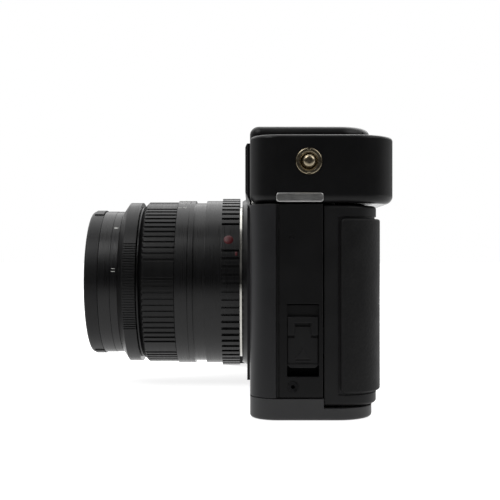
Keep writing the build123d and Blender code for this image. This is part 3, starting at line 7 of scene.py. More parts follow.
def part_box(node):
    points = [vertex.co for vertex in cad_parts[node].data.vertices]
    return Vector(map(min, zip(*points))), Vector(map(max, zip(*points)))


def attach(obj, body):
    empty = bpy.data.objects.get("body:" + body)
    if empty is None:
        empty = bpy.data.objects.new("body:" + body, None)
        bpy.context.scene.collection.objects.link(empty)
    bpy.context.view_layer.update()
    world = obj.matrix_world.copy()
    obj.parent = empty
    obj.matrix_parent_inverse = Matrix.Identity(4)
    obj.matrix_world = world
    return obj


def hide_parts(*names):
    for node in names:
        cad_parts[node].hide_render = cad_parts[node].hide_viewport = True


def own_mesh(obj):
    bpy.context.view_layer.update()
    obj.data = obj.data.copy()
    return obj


# A panoramic film camera, seen from the holder's left. Metres, in the CAD frame:
# +X is the holder's left, -Y is where the lens points, +Z is up.

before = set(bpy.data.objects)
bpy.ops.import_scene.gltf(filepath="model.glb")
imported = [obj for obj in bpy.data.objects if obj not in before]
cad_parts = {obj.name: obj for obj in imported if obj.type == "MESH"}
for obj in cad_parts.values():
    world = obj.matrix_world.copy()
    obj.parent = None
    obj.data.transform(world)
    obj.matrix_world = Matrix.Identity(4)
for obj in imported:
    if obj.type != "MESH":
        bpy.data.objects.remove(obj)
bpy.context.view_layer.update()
MM = 0.001


def middle(name):
    """The middle of a CAD node's box: x, y and z."""
    low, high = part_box(name)
    return [(a + b) / 2 for a, b in zip(low, high)]


# Where the lens stands: its mounting plane and its axis
FRONT_Y = -17.0 * MM
LENS_Z = middle("lens_head")[2]

# Sizes in mm of the patterns that finishes share: slow clouds of tone, rubbed patches, blotches of
# plating, dust on rubber, the flow of filled paint, and the drift of a coating on glass
CLOUD, RUB, BLOTCH, DUST, FLOW, FILM = 9.0, 2.2, 3.0, 5.0, 0.5, 14.0
# How far an edge is rounded in mm, and the rays that each rounding takes
LACQUER_EDGE, METAL_EDGE, RUBBER_EDGE, EDGE_SAMPLES = 0.22, 0.15, 0.3, 6


def colour(code):
    """An sRGB hex code as the linear colour that a shader socket takes."""
    parts = [int(code[i:i + 2], 16) / 255 for i in (1, 3, 5)]
    return (*[p / 12.92 if p <= 0.04045 else ((p + 0.055) / 1.055) ** 2.4 for p in parts], 1.0)


def node(tree, kind, inputs=(), **settings):
    """Adds a node with its settings; an input is a value, or a socket that is linked to it."""
    made = tree.nodes.new(kind)
    for key, value in settings.items():
        setattr(made, key, value)
    for key, value in dict(inputs).items():
        if isinstance(value, bpy.types.NodeSocket):
            tree.links.new(value, made.inputs[key])
        else:
            made.inputs[key].default_value = value
    return made


def finish(name):
    """A new material: its tree, its shader and the piece's own coordinates in millimetres."""
    material = bpy.data.materials.new(name)
    material.use_nodes = True
    tree = material.node_tree
    place = node(tree, "ShaderNodeTexCoord")
    scaled = node(
        tree,
        "ShaderNodeMapping",
        {"Vector": place.outputs["Object"], "Scale": (1 / MM, 1 / MM, 1 / MM)},
    )
    return material, tree, tree.nodes["Principled BSDF"], scaled.outputs["Vector"]


def relieved(tree, height, relief, edge):
    """The normal over rounded edges, alone and with a relief of so many mm on it."""
    rounded = node(tree, "ShaderNodeBevel", {"Radius": edge * MM}, samples=EDGE_SAMPLES)
    normal = rounded.outputs["Normal"]
    bump = node(
        tree, "ShaderNodeBump", {"Height": height, "Distance": relief * MM, "Normal": normal}
    )
    return normal, bump.outputs["Normal"]


def glancing(tree, rough, start, end, share):
    """Roughness that falls to a share of itself where the eye looks along the surface."""
    along = node(tree, "ShaderNodeLayerWeight", {"Blend": 0.5})
    smoother = node(
        tree,
        "ShaderNodeMapRange",
        {"Value": along.outputs["Facing"], "From Min": start, "From Max": end,
         "To Min": 1.0, "To Max": share},
    )
    sheen = node(
        tree, "ShaderNodeMath", {0: rough, 1: smoother.outputs["Result"]}, operation="MULTIPLY"
    )
    return sheen.outputs["Value"]


def sprayed(name, dark, light, worn, rough, grain, relief, specular):
    """Sprayed or moulded black: two near tones, a fine grain in mm, and paler rubbed edges."""
    material, tree, shader, where = finish(name)
    cloud = node(tree, "ShaderNodeTexNoise", {"Vector": where, "Scale": 1 / CLOUD, "Detail": 2.0})
    grit = node(tree, "ShaderNodeTexNoise", {"Vector": where, "Scale": 1 / grain, "Detail": 3.0})
    rub = node(tree, "ShaderNodeTexNoise", {"Vector": where, "Scale": 1 / RUB, "Detail": 4.0})
    rounded, normal = relieved(tree, grit.outputs["Fac"], relief, LACQUER_EDGE)
    flat = node(tree, "ShaderNodeNewGeometry")
    lean = node(
        tree,
        "ShaderNodeVectorMath",
        {0: rounded, 1: flat.outputs["Normal"]},
        operation="DOT_PRODUCT",
    )
    edge = node(
        tree,
        "ShaderNodeMapRange",
        {"Value": lean.outputs["Value"], "From Min": 0.86, "From Max": 0.99,
         "To Min": 1.0, "To Max": 0.0},
    )
    patches = node(
        tree,
        "ShaderNodeMapRange",
        {"Value": rub.outputs["Fac"], "From Min": 0.45, "From Max": 0.7,
         "To Min": 0.0, "To Max": 0.5},
    )
    scuff = node(
        tree,
        "ShaderNodeMath",
        {0: edge.outputs["Result"], 1: patches.outputs["Result"]},
        operation="MULTIPLY",
    )
    tones = node(
        tree,
        "ShaderNodeMix",
        {"Factor": cloud.outputs["Fac"], 6: colour(dark), 7: colour(light)},
        data_type="RGBA",
    )
    skin = node(
        tree,
        "ShaderNodeMix",
        {"Factor": scuff.outputs["Value"], 6: tones.outputs[2], 7: colour(worn)},
        data_type="RGBA",
    )
    gloss = node(
        tree,
        "ShaderNodeMapRange",
        {"Value": cloud.outputs["Fac"], "From Min": 0.3, "From Max": 0.7,
         "To Min": rough - 0.03, "To Max": rough + 0.04},
    )
    sheen = glancing(tree, gloss.outputs["Result"], 0.8, 0.96, 0.25)
    tree.links.new(skin.outputs[2], shader.inputs["Base Color"])
    tree.links.new(sheen, shader.inputs["Roughness"])
    tree.links.new(normal, shader.inputs["Normal"])
    shader.inputs["Specular IOR Level"].default_value = specular
    return material


def machined(name, dark, light, rough, stretch, line, relief, edge=METAL_EDGE, specular=None):
    """Turned, brushed or plated metal: marks line mm apart, drawn out where stretch is small.

    A specular level is given for an oxide skin, which is no metal to the eye.
    """
    material, tree, shader, where = finish(name)
    drawn = node(tree, "ShaderNodeMapping", {"Vector": where, "Scale": stretch})
    marks = node(
        tree,
        "ShaderNodeTexNoise",
        {"Vector": drawn.outputs["Vector"], "Scale": 1 / line, "Detail": 3.0},
    )
    blotch = node(
        tree, "ShaderNodeTexNoise", {"Vector": where, "Scale": 1 / BLOTCH, "Detail": 3.0}
    )
    both = node(
        tree,
        "ShaderNodeMath",
        {0: marks.outputs["Fac"], 1: blotch.outputs["Fac"]},
        operation="MULTIPLY",
    )
    tones = node(
        tree,
        "ShaderNodeMapRange",
        {"Value": both.outputs["Value"], "From Min": 0.12, "From Max": 0.4},
    )
    skin = node(
        tree,
        "ShaderNodeMix",
        {"Factor": tones.outputs["Result"], 6: colour(dark), 7: colour(light)},
        data_type="RGBA",
    )
    gloss = node(
        tree,
        "ShaderNodeMapRange",
        {"Value": marks.outputs["Fac"], "From Min": 0.3, "From Max": 0.7,
         "To Min": rough - 0.05, "To Max": rough + 0.07},
    )
    sheen = glancing(tree, gloss.outputs["Result"], 0.7, 0.95, 0.3)
    _, normal = relieved(tree, marks.outputs["Fac"], relief, edge)
    tree.links.new(skin.outputs[2], shader.inputs["Base Color"])
    tree.links.new(sheen, shader.inputs["Roughness"])
    tree.links.new(normal, shader.inputs["Normal"])
    if specular is None:
        shader.inputs["Metallic"].default_value = 1.0
    else:
        shader.inputs["Specular IOR Level"].default_value = specular
    return material


def grained(name, dark, light, rough, cell, relief):
    """Moulded rubber with a pebbled grain, cell mm across, dusty in its hollows."""
    material, tree, shader, where = finish(name)
    pebble = node(
        tree, "ShaderNodeTexVoronoi", {"Vector": where, "Scale": 1 / cell}, feature="SMOOTH_F1"
    )
    dust = node(tree, "ShaderNodeTexNoise", {"Vector": where, "Scale": 1 / DUST, "Detail": 4.0})
    hollow = node(
        tree,
        "ShaderNodeMath",
        {0: dust.outputs["Fac"], 1: pebble.outputs["Distance"]},
        operation="MULTIPLY",
    )
    skin = node(
        tree,
        "ShaderNodeMix",
        {"Factor": hollow.outputs["Value"], 6: colour(dark), 7: colour(light)},
        data_type="RGBA",
    )
    gloss = node(
        tree,
        "ShaderNodeMapRange",
        {"Value": dust.outputs["Fac"], "From Min": 0.3, "From Max": 0.7,
         "To Min": rough - 0.05, "To Max": rough + 0.06},
    )
    _, normal = relieved(tree, pebble.outputs["Distance"], relief, RUBBER_EDGE)
    tree.links.new(skin.outputs[2], shader.inputs["Base Color"])
    tree.links.new(gloss.outputs["Result"], shader.inputs["Roughness"])
    tree.links.new(normal, shader.inputs["Normal"])
    shader.inputs["Specular IOR Level"].default_value = 0.25
    return material


def filled(name, dark, light, rough):
    """Paint filled into a mark: a small flow of tone and an uneven skin."""
    material, tree, shader, where = finish(name)
    flow = node(tree, "ShaderNodeTexNoise", {"Vector": where, "Scale": 1 / FLOW, "Detail": 2.0})
    skin = node(
        tree,
        "ShaderNodeMix",
        {"Factor": flow.outputs["Fac"], 6: colour(dark), 7: colour(light)},
        data_type="RGBA",
    )
    bump = node(tree, "ShaderNodeBump", {"Height": flow.outputs["Fac"], "Distance": 0.01 * MM})
    tree.links.new(skin.outputs[2], shader.inputs["Base Color"])
    tree.links.new(bump.outputs["Normal"], shader.inputs["Normal"])
    shader.inputs["Roughness"].default_value = rough
    return material


def coated(name, dark, light, solid, rough):
    """A coated pane: solid is the share of light that it stops; a sharper shine lies over it."""
    material, tree, shader, where = finish(name)
    film = node(tree, "ShaderNodeTexNoise", {"Vector": where, "Scale": 1 / FILM, "Detail": 1.0})
    skin = node(
        tree,
        "ShaderNodeMix",
        {"Factor": film.outputs["Fac"], 6: colour(dark), 7: colour(light)},
        data_type="RGBA",
    )
    tree.links.new(skin.outputs[2], shader.inputs["Base Color"])
    shader.inputs["Roughness"].default_value = rough
    shader.inputs["IOR"].default_value = 1.5
    shader.inputs["Alpha"].default_value = solid
    shader.inputs["Coat Weight"].default_value = 0.8
    shader.inputs["Coat Roughness"].default_value = 0.02
    return material


# Semi-gloss black lacquer on pressed titanium: dark face on, and bright where the eye looks
# along its face
lacquer = sprayed(
    "semi_gloss_black_lacquer", "#0b0b0c", "#111112", "#38383a",
    rough=0.34, grain=0.35, relief=0.006, specular=0.28,
)
# The side panel has the same black laid flatter, so it shines least of the covers
panel_lacquer = sprayed(
    "flat_black_lacquer", "#0b0b0c", "#111112", "#2c2c2d",
    rough=0.42, grain=0.3, relief=0.006, specular=0.24,
)
# The bottom cover's lacquer is a much lighter copy of the top's black: painted light that the pale
# table throws up on it. Rubbing on tables has left it satin, with paler edges
base_lacquer_painted_lit = sprayed(
    "black_lacquer_painted_lit_from_below", "#2d2d2e", "#383839", "#626262",
    rough=0.4, grain=0.4, relief=0.01, specular=0.42,
)
# The front cover's lacquer is a lighter copy of the top's black: painted light from the bright
# backdrop that its front turns to. It lies between the top's black and the base's painted grey
cover_lacquer_painted_lit = sprayed(
    "black_lacquer_painted_backdrop_light", "#1b1b1d", "#252527", "#4a4a4a",
    rough=0.38, grain=0.35, relief=0.008, specular=0.34,
)
# Moulded glass-filled plastic of the door frame: an even black with a fine mould grain
door_plastic = sprayed(
    "moulded_black_plastic", "#131314", "#1a1a1b", "#363637",
    rough=0.4, grain=0.25, relief=0.01, specular=0.28,
)
# Small parts in black acetal, a little waxy: latch, cap, eyepiece ring
acetal = sprayed(
    "black_acetal", "#101011", "#161617", "#343435",
    rough=0.38, grain=0.2, relief=0.008, specular=0.3,
)
# Dyed black casting inside the body: matt, so that it throws no light back on the film
casting = sprayed(
    "black_dyed_casting", "#0b0b0c", "#111112", "#1e1e1e",
    rough=0.72, grain=0.5, relief=0.03, specular=0.15,
)
# Plain shrink sleeve of a battery cell
cell_sleeve = sprayed(
    "battery_sleeve", "#3a3a3c", "#454548", "#6a6a6a",
    rough=0.35, grain=0.8, relief=0.004, specular=0.5,
)
# Soft grip rubber with a fine pebble that only breaks up the sheen
rubber = grained(
    "pebbled_black_rubber", "#101011", "#202020", rough=0.5, cell=0.7, relief=0.05
)

# How the marks of a tool are drawn out: the same all ways, or into rings round the lens's axis
EVEN, RINGS = (1, 1, 1), (0.02, 1.0, 0.02)
# Black anodised aluminium turned on the lens axis: fine rings, bright only at a grazing look
anodised = machined(
    "black_anodised_turned", "#09090a", "#0f0f11",
    rough=0.3, stretch=RINGS, line=0.3, relief=0.003, specular=0.42,
)
# The same on the ribbed grips, where handling has flattened the sheen
knurled = machined(
    "black_anodised_knurled", "#09090a", "#0e0e0f",
    rough=0.36, stretch=RINGS, line=0.35, relief=0.003, specular=0.34,
)
# The same on the controls, bead-blasted before the bath, so its grain runs no way
blasted = machined(
    "black_anodised_blasted", "#0e0e0f", "#161618",
    rough=0.4, stretch=EVEN, line=0.18, relief=0.004, specular=0.34,
)
# Hard chrome on brass: a clean bright ring
chrome = machined(
    "hard_chrome", "#c4c2bb", "#dcdad4",
    rough=0.14, stretch=(0.05, 1.0, 0.05), line=0.6, relief=0.001,
)
# Nickel-plated brass stud, its plating warm and thin
nickel = machined(
    "thin_nickel_on_brass", "#a0937a", "#cbbea4",
    rough=0.2, stretch=EVEN, line=0.6, relief=0.002, edge=0.25,
)
# Dark grey steel of the flash socket
gun_steel = machined(
    "dark_socket_steel", "#1c1c1d", "#333334",
    rough=0.4, stretch=EVEN, line=0.3, relief=0.003, edge=0.1,
)
# Brushed stainless rub plates: strokes run along Y
brushed = machined(
    "brushed_stainless", "#b4b4b3", "#dededc",
    rough=0.36, stretch=(1, 0.06, 1), line=0.12, relief=0.003, edge=0.12,
)
# Satin steel of the shoe and inner parts
steel = machined(
    "satin_steel", "#8d8d8c", "#a6a6a4", rough=0.36, stretch=EVEN, line=0.25, relief=0.004
)
# Blackened steel of hook, masks, screws and shutter leaves, its strokes upright
black_steel = machined(
    "blackened_steel", "#1b1b1d", "#2a2a2c",
    rough=0.42, stretch=(1, 1, 0.1), line=0.3, relief=0.003,
)
# Turned brass of the tripod bush and the shoe's contact
brass = machined(
    "turned_brass", "#8b7746", "#b39c62",
    rough=0.28, stretch=(1, 1, 0.05), line=0.3, relief=0.004,
)

# Signal red enamel in the bayonet index
red_enamel = filled("red_enamel", "#4a0a12", "#600e19", rough=0.42)
# White paint in the engraved figures
white_paint = filled("white_engraving_paint", "#c4c4c0", "#d6d6d2", rough=0.5)
# Grey-green counter display and its dark segments
counter_grey = filled("grey_display_sheet", "#7e8578", "#8b9284", rough=0.4)
counter_dark = filled("dark_display_ink", "#1a1c1a", "#242624", rough=0.45)

# Violet-green coated glass of the lens: it stops all light, as the dark barrel behind it would
lens_glass = coated("coated_lens_glass", "#120c1a", "#0b1613", solid=1.0, rough=0.03)
# Clear flat glass of filter and counter: what lies behind shows through
clear_glass = coated("clear_flat_glass", "#181b20", "#20242a", solid=0.3, rough=0.05)
# Blue-black glass of the finder windows: it stands for the dark depth of the finder too
finder_glass = coated("blue_coated_finder_glass", "#0b1017", "#121923", solid=1.0, rough=0.03)
# Milky window that lights the frame lines
frosted_glass = coated("frosted_window", "#8e9498", "#9da2a6", solid=1.0, rough=0.45)

finish_of = {
    lacquer: "top_cover viewfinder_bezel",
    cover_lacquer_painted_lit: "front_cover",
    panel_lacquer: "side_panel_left",
    base_lacquer_painted_lit: "bottom_cover battery_cover",
    door_plastic: "back_door",
    acetal: "latch_slider lens_cap cap_tab_top cap_tab_bottom eyepiece_ring take_up_spool "
            "drive_fork sprocket_shaft",
    rubber: "grip_rubber door_pad",
    anodised: "lens_barrel filter_ring mount_boss lens_head",
    knurled: "focus_ring aperture_ring",
    blasted: "speed_dial format_selector drive_selector shutter_button lens_release "
             "rewind_button",
    casting: "chassis shutter_frame finder_prism",
    chrome: "lens_flange body_bayonet",
    nickel: "strap_lugs",
    gun_steel: "sync_socket",
    brushed: "rub_plates",
    steel: "accessory_shoe hinge_pin battery_lock pressure_springs",
    black_steel: "latch_hook body_screws pressure_plate lead_leaf_upper lead_leaf_lower "
                 "trail_leaf_upper trail_leaf_lower mask_left mask_right iris_blades",
    brass: "tripod_bush",
    lens_glass: "lens_elements",
    clear_glass: "filter_glass counter_window",
    finder_glass: "viewfinder_window rangefinder_window eyepiece_lens",
    frosted_glass: "illumination_window",
    cell_sleeve: "batteries",
}
for material, names in finish_of.items():
    for name in names.split():
        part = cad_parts[name]
        part.data.materials.clear()
        part.data.materials.append(material)


def pick(*pieces):
    """Selects only these pieces, the first of them active."""
    bpy.ops.object.select_all(action="DESELECT")
    for piece in pieces:
        piece.select_set(True)
    bpy.context.view_layer.objects.active = pieces[0]


def settle(pieces, name, body, slot, material):
    """Makes pieces one, with its place in its mesh, and gives it its name, body and finish."""
    pick(*pieces)
    if len(pieces) > 1:
        bpy.ops.object.join()
    piece = bpy.context.object
    bpy.ops.object.transform_apply(location=True, rotation=True, scale=True)
    bpy.ops.object.shade_smooth_by_angle(angle=radians(35))
    piece.name = name
    piece.data.name = name
    piece.data.materials.clear()
    piece.data.materials.append(material)
    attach(piece, body)
    return piece


def on_lens(ahead, radius, turn):
    """Place on the lens's skin, ahead mm before its mounting plane, turn degrees up from +X.

    The place's +Z points out of the skin, and its +Y towards the front.
    """
    out = Vector((cos(radians(turn)), 0, sin(radians(turn))))
    forward = Vector((0, -1, 0))
    spot = Vector((0, FRONT_Y - ahead * MM, LENS_Z)) + out * radius * MM
    turned = Matrix((forward.cross(out), forward, out)).transposed()
    return Matrix.Translation(spot) @ turned.to_4x4()


def on_top(x, y, z, turn=0.0):
    """Place on an upward face, turned about Z by turn degrees."""
    return Matrix.Translation(Vector((x, y, z))) @ Matrix.Rotation(radians(turn), 4, "Z")


def on_back(x, y, z):
    """Place on a face that looks back, upright to the eye that looks at it."""
    turned = Matrix(((-1, 0, 0), (0, 0, 1), (0, 1, 0)))
    return Matrix.Translation(Vector((x, y, z))) @ turned.to_4x4()


# How far a painted mark stands out of its face, in mm, a text's size over its figures' height,
# and the share of a bar's least size that its softened corners take
PAINT, TYPE_SIZE, CORNER = 0.04, 1.4, 0.3


def figure(text, height, place):
    """One raised painted figure, height mm tall, centred on its place."""
    bpy.ops.object.select_all(action="DESELECT")
    bpy.ops.object.text_add()
    made = bpy.context.object
    made.data.body = text
    made.data.align_x = "CENTER"
    made.data.align_y = "CENTER"
    made.data.size = height * MM * TYPE_SIZE
    made.data.extrude = PAINT * MM
    made.data.resolution_u = 3
    bpy.ops.object.convert(target="MESH")
    made = bpy.context.object
    made.matrix_world = place
    return made


def bar(width, length, place, proud=PAINT):
    """One raised painted bar with softened corners, width by length mm, centred on its place."""
    bpy.ops.object.select_all(action="DESELECT")
    bpy.ops.mesh.primitive_cube_add(size=1.0)
    made = bpy.context.object
    bpy.ops.object.mode_set(mode="EDIT")
    bpy.ops.mesh.select_all(action="SELECT")
    bpy.ops.transform.resize(value=(width * MM, length * MM, 2 * proud * MM))
    # The corners are a little more than half as wide as the bar is thick, so they cross at its rim
    bpy.ops.mesh.bevel(offset=CORNER * min(width, length, 4 * proud) * MM, segments=2)
    bpy.ops.object.mode_set(mode="OBJECT")
    made.matrix_world = place
    return made


def dome(radius, rise, place):
    """A low round bead: the radius of its foot, and how far it stands out, in mm."""
    bpy.ops.object.select_all(action="DESELECT")
    bpy.ops.mesh.primitive_uv_sphere_add(segments=32, ring_count=16, radius=radius * MM)
    made = bpy.context.object
    bpy.ops.object.mode_set(mode="EDIT")
    bpy.ops.mesh.select_all(action="SELECT")
    bpy.ops.transform.resize(value=(1, 1, rise / radius))
    # The cut takes all within 0.1 mm of its plane as on it, which is coarse for so low a bead: the
    # mesh is left open, and its faces differ a little from run to run
    bpy.ops.mesh.bisect(plane_co=(0, 0, 0), plane_no=(0, 0, 1), clear_inner=True, use_fill=True)
    bpy.ops.object.mode_set(mode="OBJECT")
    made.matrix_world = place
    return made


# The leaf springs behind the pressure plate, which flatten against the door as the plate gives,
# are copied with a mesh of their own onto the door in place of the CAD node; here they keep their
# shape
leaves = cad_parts["pressure_springs"].copy()
leaves.data = leaves.data.copy()
leaves.name = "pressure_leaves"
bpy.context.scene.collection.objects.link(leaves)
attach(leaves, "door")
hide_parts("pressure_springs")
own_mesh(leaves)

# The marks below are in mm: a bar by its width and length, and a bead by the radius of its foot
# and its rise. WHITE and RED are a mark's slot and paint
WHITE = ("white_marking", white_paint)
RED = ("red_enamel", red_enamel)

# Lens: the red bead that shows where it goes on, and a small red mark behind it
COLLAR_R, BAND_R, BARREL_R = 30.0, 25.3, 29.2
BEAD_AHEAD, BEAD_TURN, BEAD_R, BEAD_RISE, BEAD_SUNK = 7.2, 29.8, 1.7, 0.5, 0.15
bead_place = on_lens(BEAD_AHEAD, COLLAR_R - BEAD_SUNK, BEAD_TURN)
settle([dome(BEAD_R, BEAD_RISE, bead_place)], "index_bead", "lens", *RED)
MARK_AHEAD, MARK_TURN, MARK_SIZE = 4.6, 20.0, (1.3, 0.8)
mark_place = on_lens(MARK_AHEAD, COLLAR_R, MARK_TURN)
settle([bar(*MARK_SIZE, mark_place)], "collar_mark", "lens", *RED)

# Aperture figures round the number band, each with its turn round the lens
STOPS = (("11", 10.7), ("8", 48.7), ("5.6", 86.7), ("4", 124.7))
STOP_AHEAD, STOP_HEIGHT = 46.15, 1.4
band = [figure(text, STOP_HEIGHT, on_lens(STOP_AHEAD, BAND_R, turn)) for text, turn in STOPS]
settle(band, "stop_figures", "head", *WHITE)

# The aperture ring's white dot points at the figure in use. It lies on the ring's sloped front,
# 1 mm behind the edge
STOP_IN_USE, STOP_DOT_R, STOP_DOT_SLOPE, STOP_DOT = STOPS[2][1], 26.95, -55.4, (0.55, 0.12)
dot_ahead = (FRONT_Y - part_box("aperture_ring")[0].y) / MM - 1.0
dot_place = on_lens(dot_ahead, STOP_DOT_R, STOP_IN_USE)
dot_place = dot_place @ Matrix.Rotation(radians(STOP_DOT_SLOPE), 4, "X")
settle([dome(*STOP_DOT, dot_place)], "stop_dot", "aperture", *WHITE)

# Depth scale on top of the fixed barrel: a centre line, and a tick and a figure each way for
# each stop, by how many degrees off the centre they stand
TOP_TURN = 90.0
DEPTHS = (("4", 5.5), ("8", 11.0), ("11", 17.5), ("16", 26.0))
LINE_AHEAD, TICK_AHEAD, DEPTH_AHEAD = 24.2, 24.5, 22.7
LINE_SIZE, TICK_SIZE, DEPTH_HEIGHT = (0.3, 1.9), (0.22, 1.2), 1.1
depth_marks = [bar(*LINE_SIZE, on_lens(LINE_AHEAD, BARREL_R, TOP_TURN))]
for text, spread in DEPTHS:
    for turn in (TOP_TURN - spread, TOP_TURN + spread):
        depth_marks.append(bar(*TICK_SIZE, on_lens(TICK_AHEAD, BARREL_R, turn)))
        depth_marks.append(figure(text, DEPTH_HEIGHT, on_lens(DEPTH_AHEAD, BARREL_R, turn)))
settle(depth_marks, "depth_scale", "lens", *WHITE)

# Shutter speed figures round the dial's cap, the first of them towards the front, and the white
# dot on the shoulder that they are read against
SPEEDS = ("1000", "500", "250", "125", "60", "30", "15", "8", "4", "2", "1")
SPEED_START, SPEED_STEP, SPEED_R, SPEED_HEIGHT = 180.0, 28.0, 6.4, 1.0
SPEED_DOT_R, SPEED_DOT = 10.6, (0.6, 0.12)
dial_x, dial_y, _ = middle("speed_dial")
dial_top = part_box("speed_dial")[1].z
shoulder_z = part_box("drive_selector")[0].z - 0.2 * MM
speeds = []
for i, text in enumerate(SPEEDS):
    turn = SPEED_START + i * SPEED_STEP
    x = dial_x - sin(radians(turn)) * SPEED_R * MM
    y = dial_y + cos(radians(turn)) * SPEED_R * MM
    speeds.append(figure(text, SPEED_HEIGHT, on_top(x, y, dial_top, turn)))
settle(speeds, "speed_figures", "speed_knob", *WHITE)
speed_dot = dome(*SPEED_DOT, on_top(dial_x, dial_y - SPEED_DOT_R * MM, shoulder_z))
settle([speed_dot], "speed_dot", "camera_body", *WHITE)

# Drive marks: a line on the lever, and one, two and three dots beside its three stops, which are
# given by their turn from the front
LEVER_R, LEVER_LINE, LEVER_DROP = 8.6, (0.4, 2.6), 0.4
DRIVE_R, DRIVE_STOPS, DRIVE_DOT, DOT_STEP = 9.6, (30.0, 75.0, 120.0), (0.3, 0.08), 6.5
button_x, button_y, _ = middle("shutter_button")
lever_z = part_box("drive_selector")[1].z - LEVER_DROP * MM
lever_place = on_top(button_x, button_y - LEVER_R * MM, lever_z)
settle([bar(*LEVER_LINE, lever_place)], "lever_line", "drive_ring", *WHITE)
dots = []
for count, turn in enumerate(DRIVE_STOPS, start=1):
    for i in range(count):
        a = radians(turn - 90 + DOT_STEP * (i - (count - 1) / 2))
        x, y = button_x + cos(a) * DRIVE_R * MM, button_y + sin(a) * DRIVE_R * MM
        dots.append(dome(*DRIVE_DOT, on_top(x, y, shoulder_z)))
settle(dots, "drive_dots", "camera_body", *WHITE)

# Frame counter: a display sheet laid under its window, with dark figures on it
SHEET_SIZE, SHEET_THICK, SHEET_DROP = (14.6, 7.6), 0.1, 0.3
COUNT_HEIGHT, COUNT_RISE = 4.2, 0.12
pane_x, pane_y, _ = middle("counter_window")
sheet_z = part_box("counter_window")[0].z - SHEET_DROP * MM
sheet = bar(*SHEET_SIZE, on_top(pane_x, pane_y, sheet_z), SHEET_THICK)
settle([sheet], "counter_sheet", "camera_body", "white_marking", counter_grey)
digits = figure("21", COUNT_HEIGHT, on_top(pane_x, pane_y, sheet_z + COUNT_RISE * MM))
settle([digits], "counter_figures", "camera_body", "black_paint", counter_dark)

# Contact of the accessory shoe: a black insulating disc let into its floor, with a brass stud
# in it, both a little before the shoe's middle
SHOE_FLOOR, CONTACT_SHIFT, CONTACT_LIFT = 1.0, 1.0, 0.05
DISC, STUD = (2.6, 0.1), (1.2, 0.22)
shoe_x, shoe_y, _ = middle("accessory_shoe")
contact_y = shoe_y - CONTACT_SHIFT * MM
floor_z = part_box("accessory_shoe")[0].z + SHOE_FLOOR * MM
disc = dome(*DISC, on_top(shoe_x, contact_y, floor_z))
settle([disc], "shoe_insulator", "camera_body", "black_plastic", acetal)
stud = dome(*STUD, on_top(shoe_x, contact_y, floor_z + CONTACT_LIFT * MM))
settle([stud], "shoe_contact", "camera_body", "brass_parts", brass)

# Format marks beside the selector on the back: a wide frame and a narrow one, each a thin
# outline, given by its middle from the selector's and by its size. A line on the selector
FORMATS = ((0.0, -7.2, 4.0, 1.5), (-8.2, 0.0, 2.2, 1.5))
OUTLINE, FORMAT_LINE = 0.2, (6.5, 0.4)
knob_x, _, knob_z = middle("format_selector")
knob_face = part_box("format_selector")[1].y
back_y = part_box("top_cover")[1].y
outlines = []
for x, z, width, height in FORMATS:
    for side in (-1, 1):
        rail = on_back(knob_x + x * MM, back_y, knob_z + (z + side * height / 2) * MM)
        post = on_back(knob_x + (x + side * width / 2) * MM, back_y, knob_z + z * MM)
        outlines += [bar(width, OUTLINE, rail), bar(OUTLINE, height, post)]
settle(outlines, "format_marks", "camera_body", *WHITE)
format_line = bar(*FORMAT_LINE, on_back(knob_x, knob_face, knob_z))
settle([format_line], "format_line", "format_knob", *WHITE)

# Camera: level, on the photograph's line of sight
EYE = Vector((340.0, -17.0, 46.95)) * MM
FOCAL_PX, WIDTH_PX, SENSOR = 935.0, 500.0, 36.0
NEAR, FAR = 0.01, 50.0
camera_data = bpy.data.cameras.new("eye")
camera = bpy.data.objects.new("eye", camera_data)
bpy.context.scene.collection.objects.link(camera)
camera.location = EYE
camera.rotation_euler = (radians(90), 0, radians(90))
camera_data.sensor_width = SENSOR
camera_data.lens = FOCAL_PX / WIDTH_PX * SENSOR
camera_data.clip_start = NEAR
camera_data.clip_end = FAR
bpy.context.scene.camera = camera

# Floor: a pale sheet. The eye sees its lit surface and a glow on top, which brings its open part
# to white and leaves the object's shadow. A reflection sees a glow alone, which is bright behind
# the object and fades towards the eye
FLOOR_SIZE, FLOOR_Z, FLOOR_GLOW = 6.0, -0.0002, 0.82
bpy.ops.object.select_all(action="DESELECT")
bpy.ops.mesh.primitive_plane_add(size=FLOOR_SIZE, location=(0, 0, FLOOR_Z))
floor = bpy.context.object
floor.name = "floor"
pale_sheet = bpy.data.materials.new("pale_sheet")
pale_sheet.use_nodes = True
tree = pale_sheet.node_tree
paper = tree.nodes["Principled BSDF"]
paper.inputs["Base Color"].default_value = colour("#f2f2f2")
paper.inputs["Roughness"].default_value = 0.9
paper.inputs["Specular IOR Level"].default_value = 0.1
ray = node(tree, "ShaderNodeLightPath")
place = node(tree, "ShaderNodeTexCoord")
axes = node(tree, "ShaderNodeSeparateXYZ", {"Vector": place.outputs["Object"]})
fade = node(
    tree,
    "ShaderNodeMapRange",
    {"Value": axes.outputs["X"], "From Min": 0.0, "From Max": 0.4,
     "To Min": 0.95, "To Max": 0.1},
    interpolation_type="SMOOTHSTEP",
)
mirrored = node(
    tree,
    "ShaderNodeMath",
    {0: ray.outputs["Is Glossy Ray"], 1: ray.outputs["Is Transmission Ray"]},
    operation="MAXIMUM",
)
mirrored_glow = node(
    tree,
    "ShaderNodeMath",
    {0: mirrored.outputs["Value"], 1: fade.outputs["Result"]},
    operation="MULTIPLY",
)
seen_glow = node(
    tree,
    "ShaderNodeMath",
    {0: ray.outputs["Is Camera Ray"], 1: FLOOR_GLOW},
    operation="MULTIPLY",
)
level = node(
    tree,
    "ShaderNodeMath",
    {0: mirrored_glow.outputs["Value"], 1: seen_glow.outputs["Value"]},
    operation="MAXIMUM",
)
glow = node(
    tree, "ShaderNodeEmission", {"Color": (1, 1, 1, 1), "Strength": level.outputs["Value"]}
)
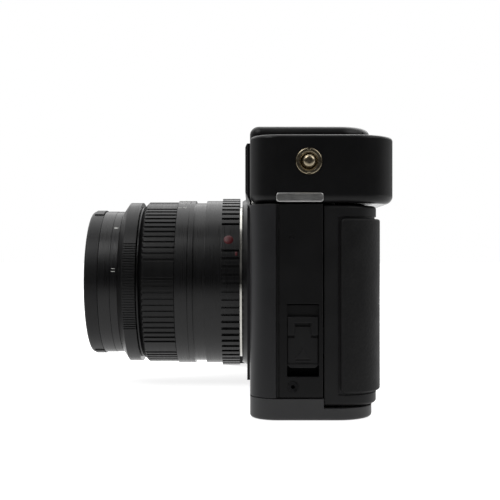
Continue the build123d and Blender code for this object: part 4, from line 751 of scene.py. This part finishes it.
no_light = node(tree, "ShaderNodeEmission", {"Color": (0, 0, 0, 1), "Strength": 0.0})
own = node(
    tree,
    "ShaderNodeMixShader",
    {0: mirrored.outputs["Value"], 1: paper.outputs["BSDF"], 2: no_light.outputs["Emission"]},
)
both = node(
    tree, "ShaderNodeAddShader", {0: own.outputs["Shader"], 1: glow.outputs["Emission"]}
)
tree.links.new(both.outputs["Shader"], tree.nodes["Material Output"].inputs["Surface"])
floor.data.materials.append(pale_sheet)

# World: white to the eye. Its light comes from behind the object, from above and from below, and
# is dim on the eye's side and at the eye's height, which keeps the edges of upright faces dark
world = bpy.data.worlds.new("studio")
bpy.context.scene.world = world
world.use_nodes = True
sky = world.node_tree
sky_ray = node(sky, "ShaderNodeLightPath")
sky_place = node(sky, "ShaderNodeTexCoord")
sky_axes = node(sky, "ShaderNodeSeparateXYZ", {"Vector": sky_place.outputs["Generated"]})
sweep = node(
    sky,
    "ShaderNodeMapRange",
    {"Value": sky_axes.outputs["X"], "From Min": -0.35, "From Max": 0.45,
     "To Min": 1.0, "To Max": 0.12},
    interpolation_type="SMOOTHSTEP",
)
steep = node(sky, "ShaderNodeMath", {0: sky_axes.outputs["Z"]}, operation="ABSOLUTE")
rise = node(
    sky,
    "ShaderNodeMapRange",
    {"Value": steep.outputs["Value"], "From Min": 0.08, "From Max": 0.5,
     "To Min": 0.3, "To Max": 1.0},
    interpolation_type="SMOOTHSTEP",
)
dome_light = node(
    sky,
    "ShaderNodeMath",
    {0: sweep.outputs["Result"], 1: rise.outputs["Result"]},
    operation="MULTIPLY",
)
strength = node(
    sky,
    "ShaderNodeMath",
    {0: dome_light.outputs["Value"], 1: sky_ray.outputs["Is Camera Ray"]},
    operation="MAXIMUM",
)
background = sky.nodes["Background"]
background.inputs["Color"].default_value = (1, 1, 1, 1)
sky.links.new(strength.outputs["Value"], background.inputs["Strength"])

# Square lamps, turned to the body's middle: name, spot, size in metres and power in watts
BODY_MIDDLE = Vector((0, 0, 0.04))
LAMPS = (
    ("over_lamp", (-0.45, -0.1, 0.8), 1.2, 3.2),
    ("key_lamp", (0.45, -0.4, 0.75), 0.5, 2.4),
    ("fill_lamp", (0.4, 0.55, 0.6), 0.5, 1.4),
    ("rear_lamp", (-0.6, 0.3, 0.6), 0.6, 1.6),
)
for name, spot, size, power in LAMPS:
    lamp_data = bpy.data.lights.new(name, "AREA")
    lamp_data.size = size
    lamp_data.energy = power
    lamp = bpy.data.objects.new(name, lamp_data)
    bpy.context.scene.collection.objects.link(lamp)
    lamp.location = spot
    lamp.rotation_euler = (BODY_MIDDLE - Vector(spot)).to_track_quat("-Z", "Y").to_euler()

bpy.context.scene.view_settings.view_transform = "Standard"
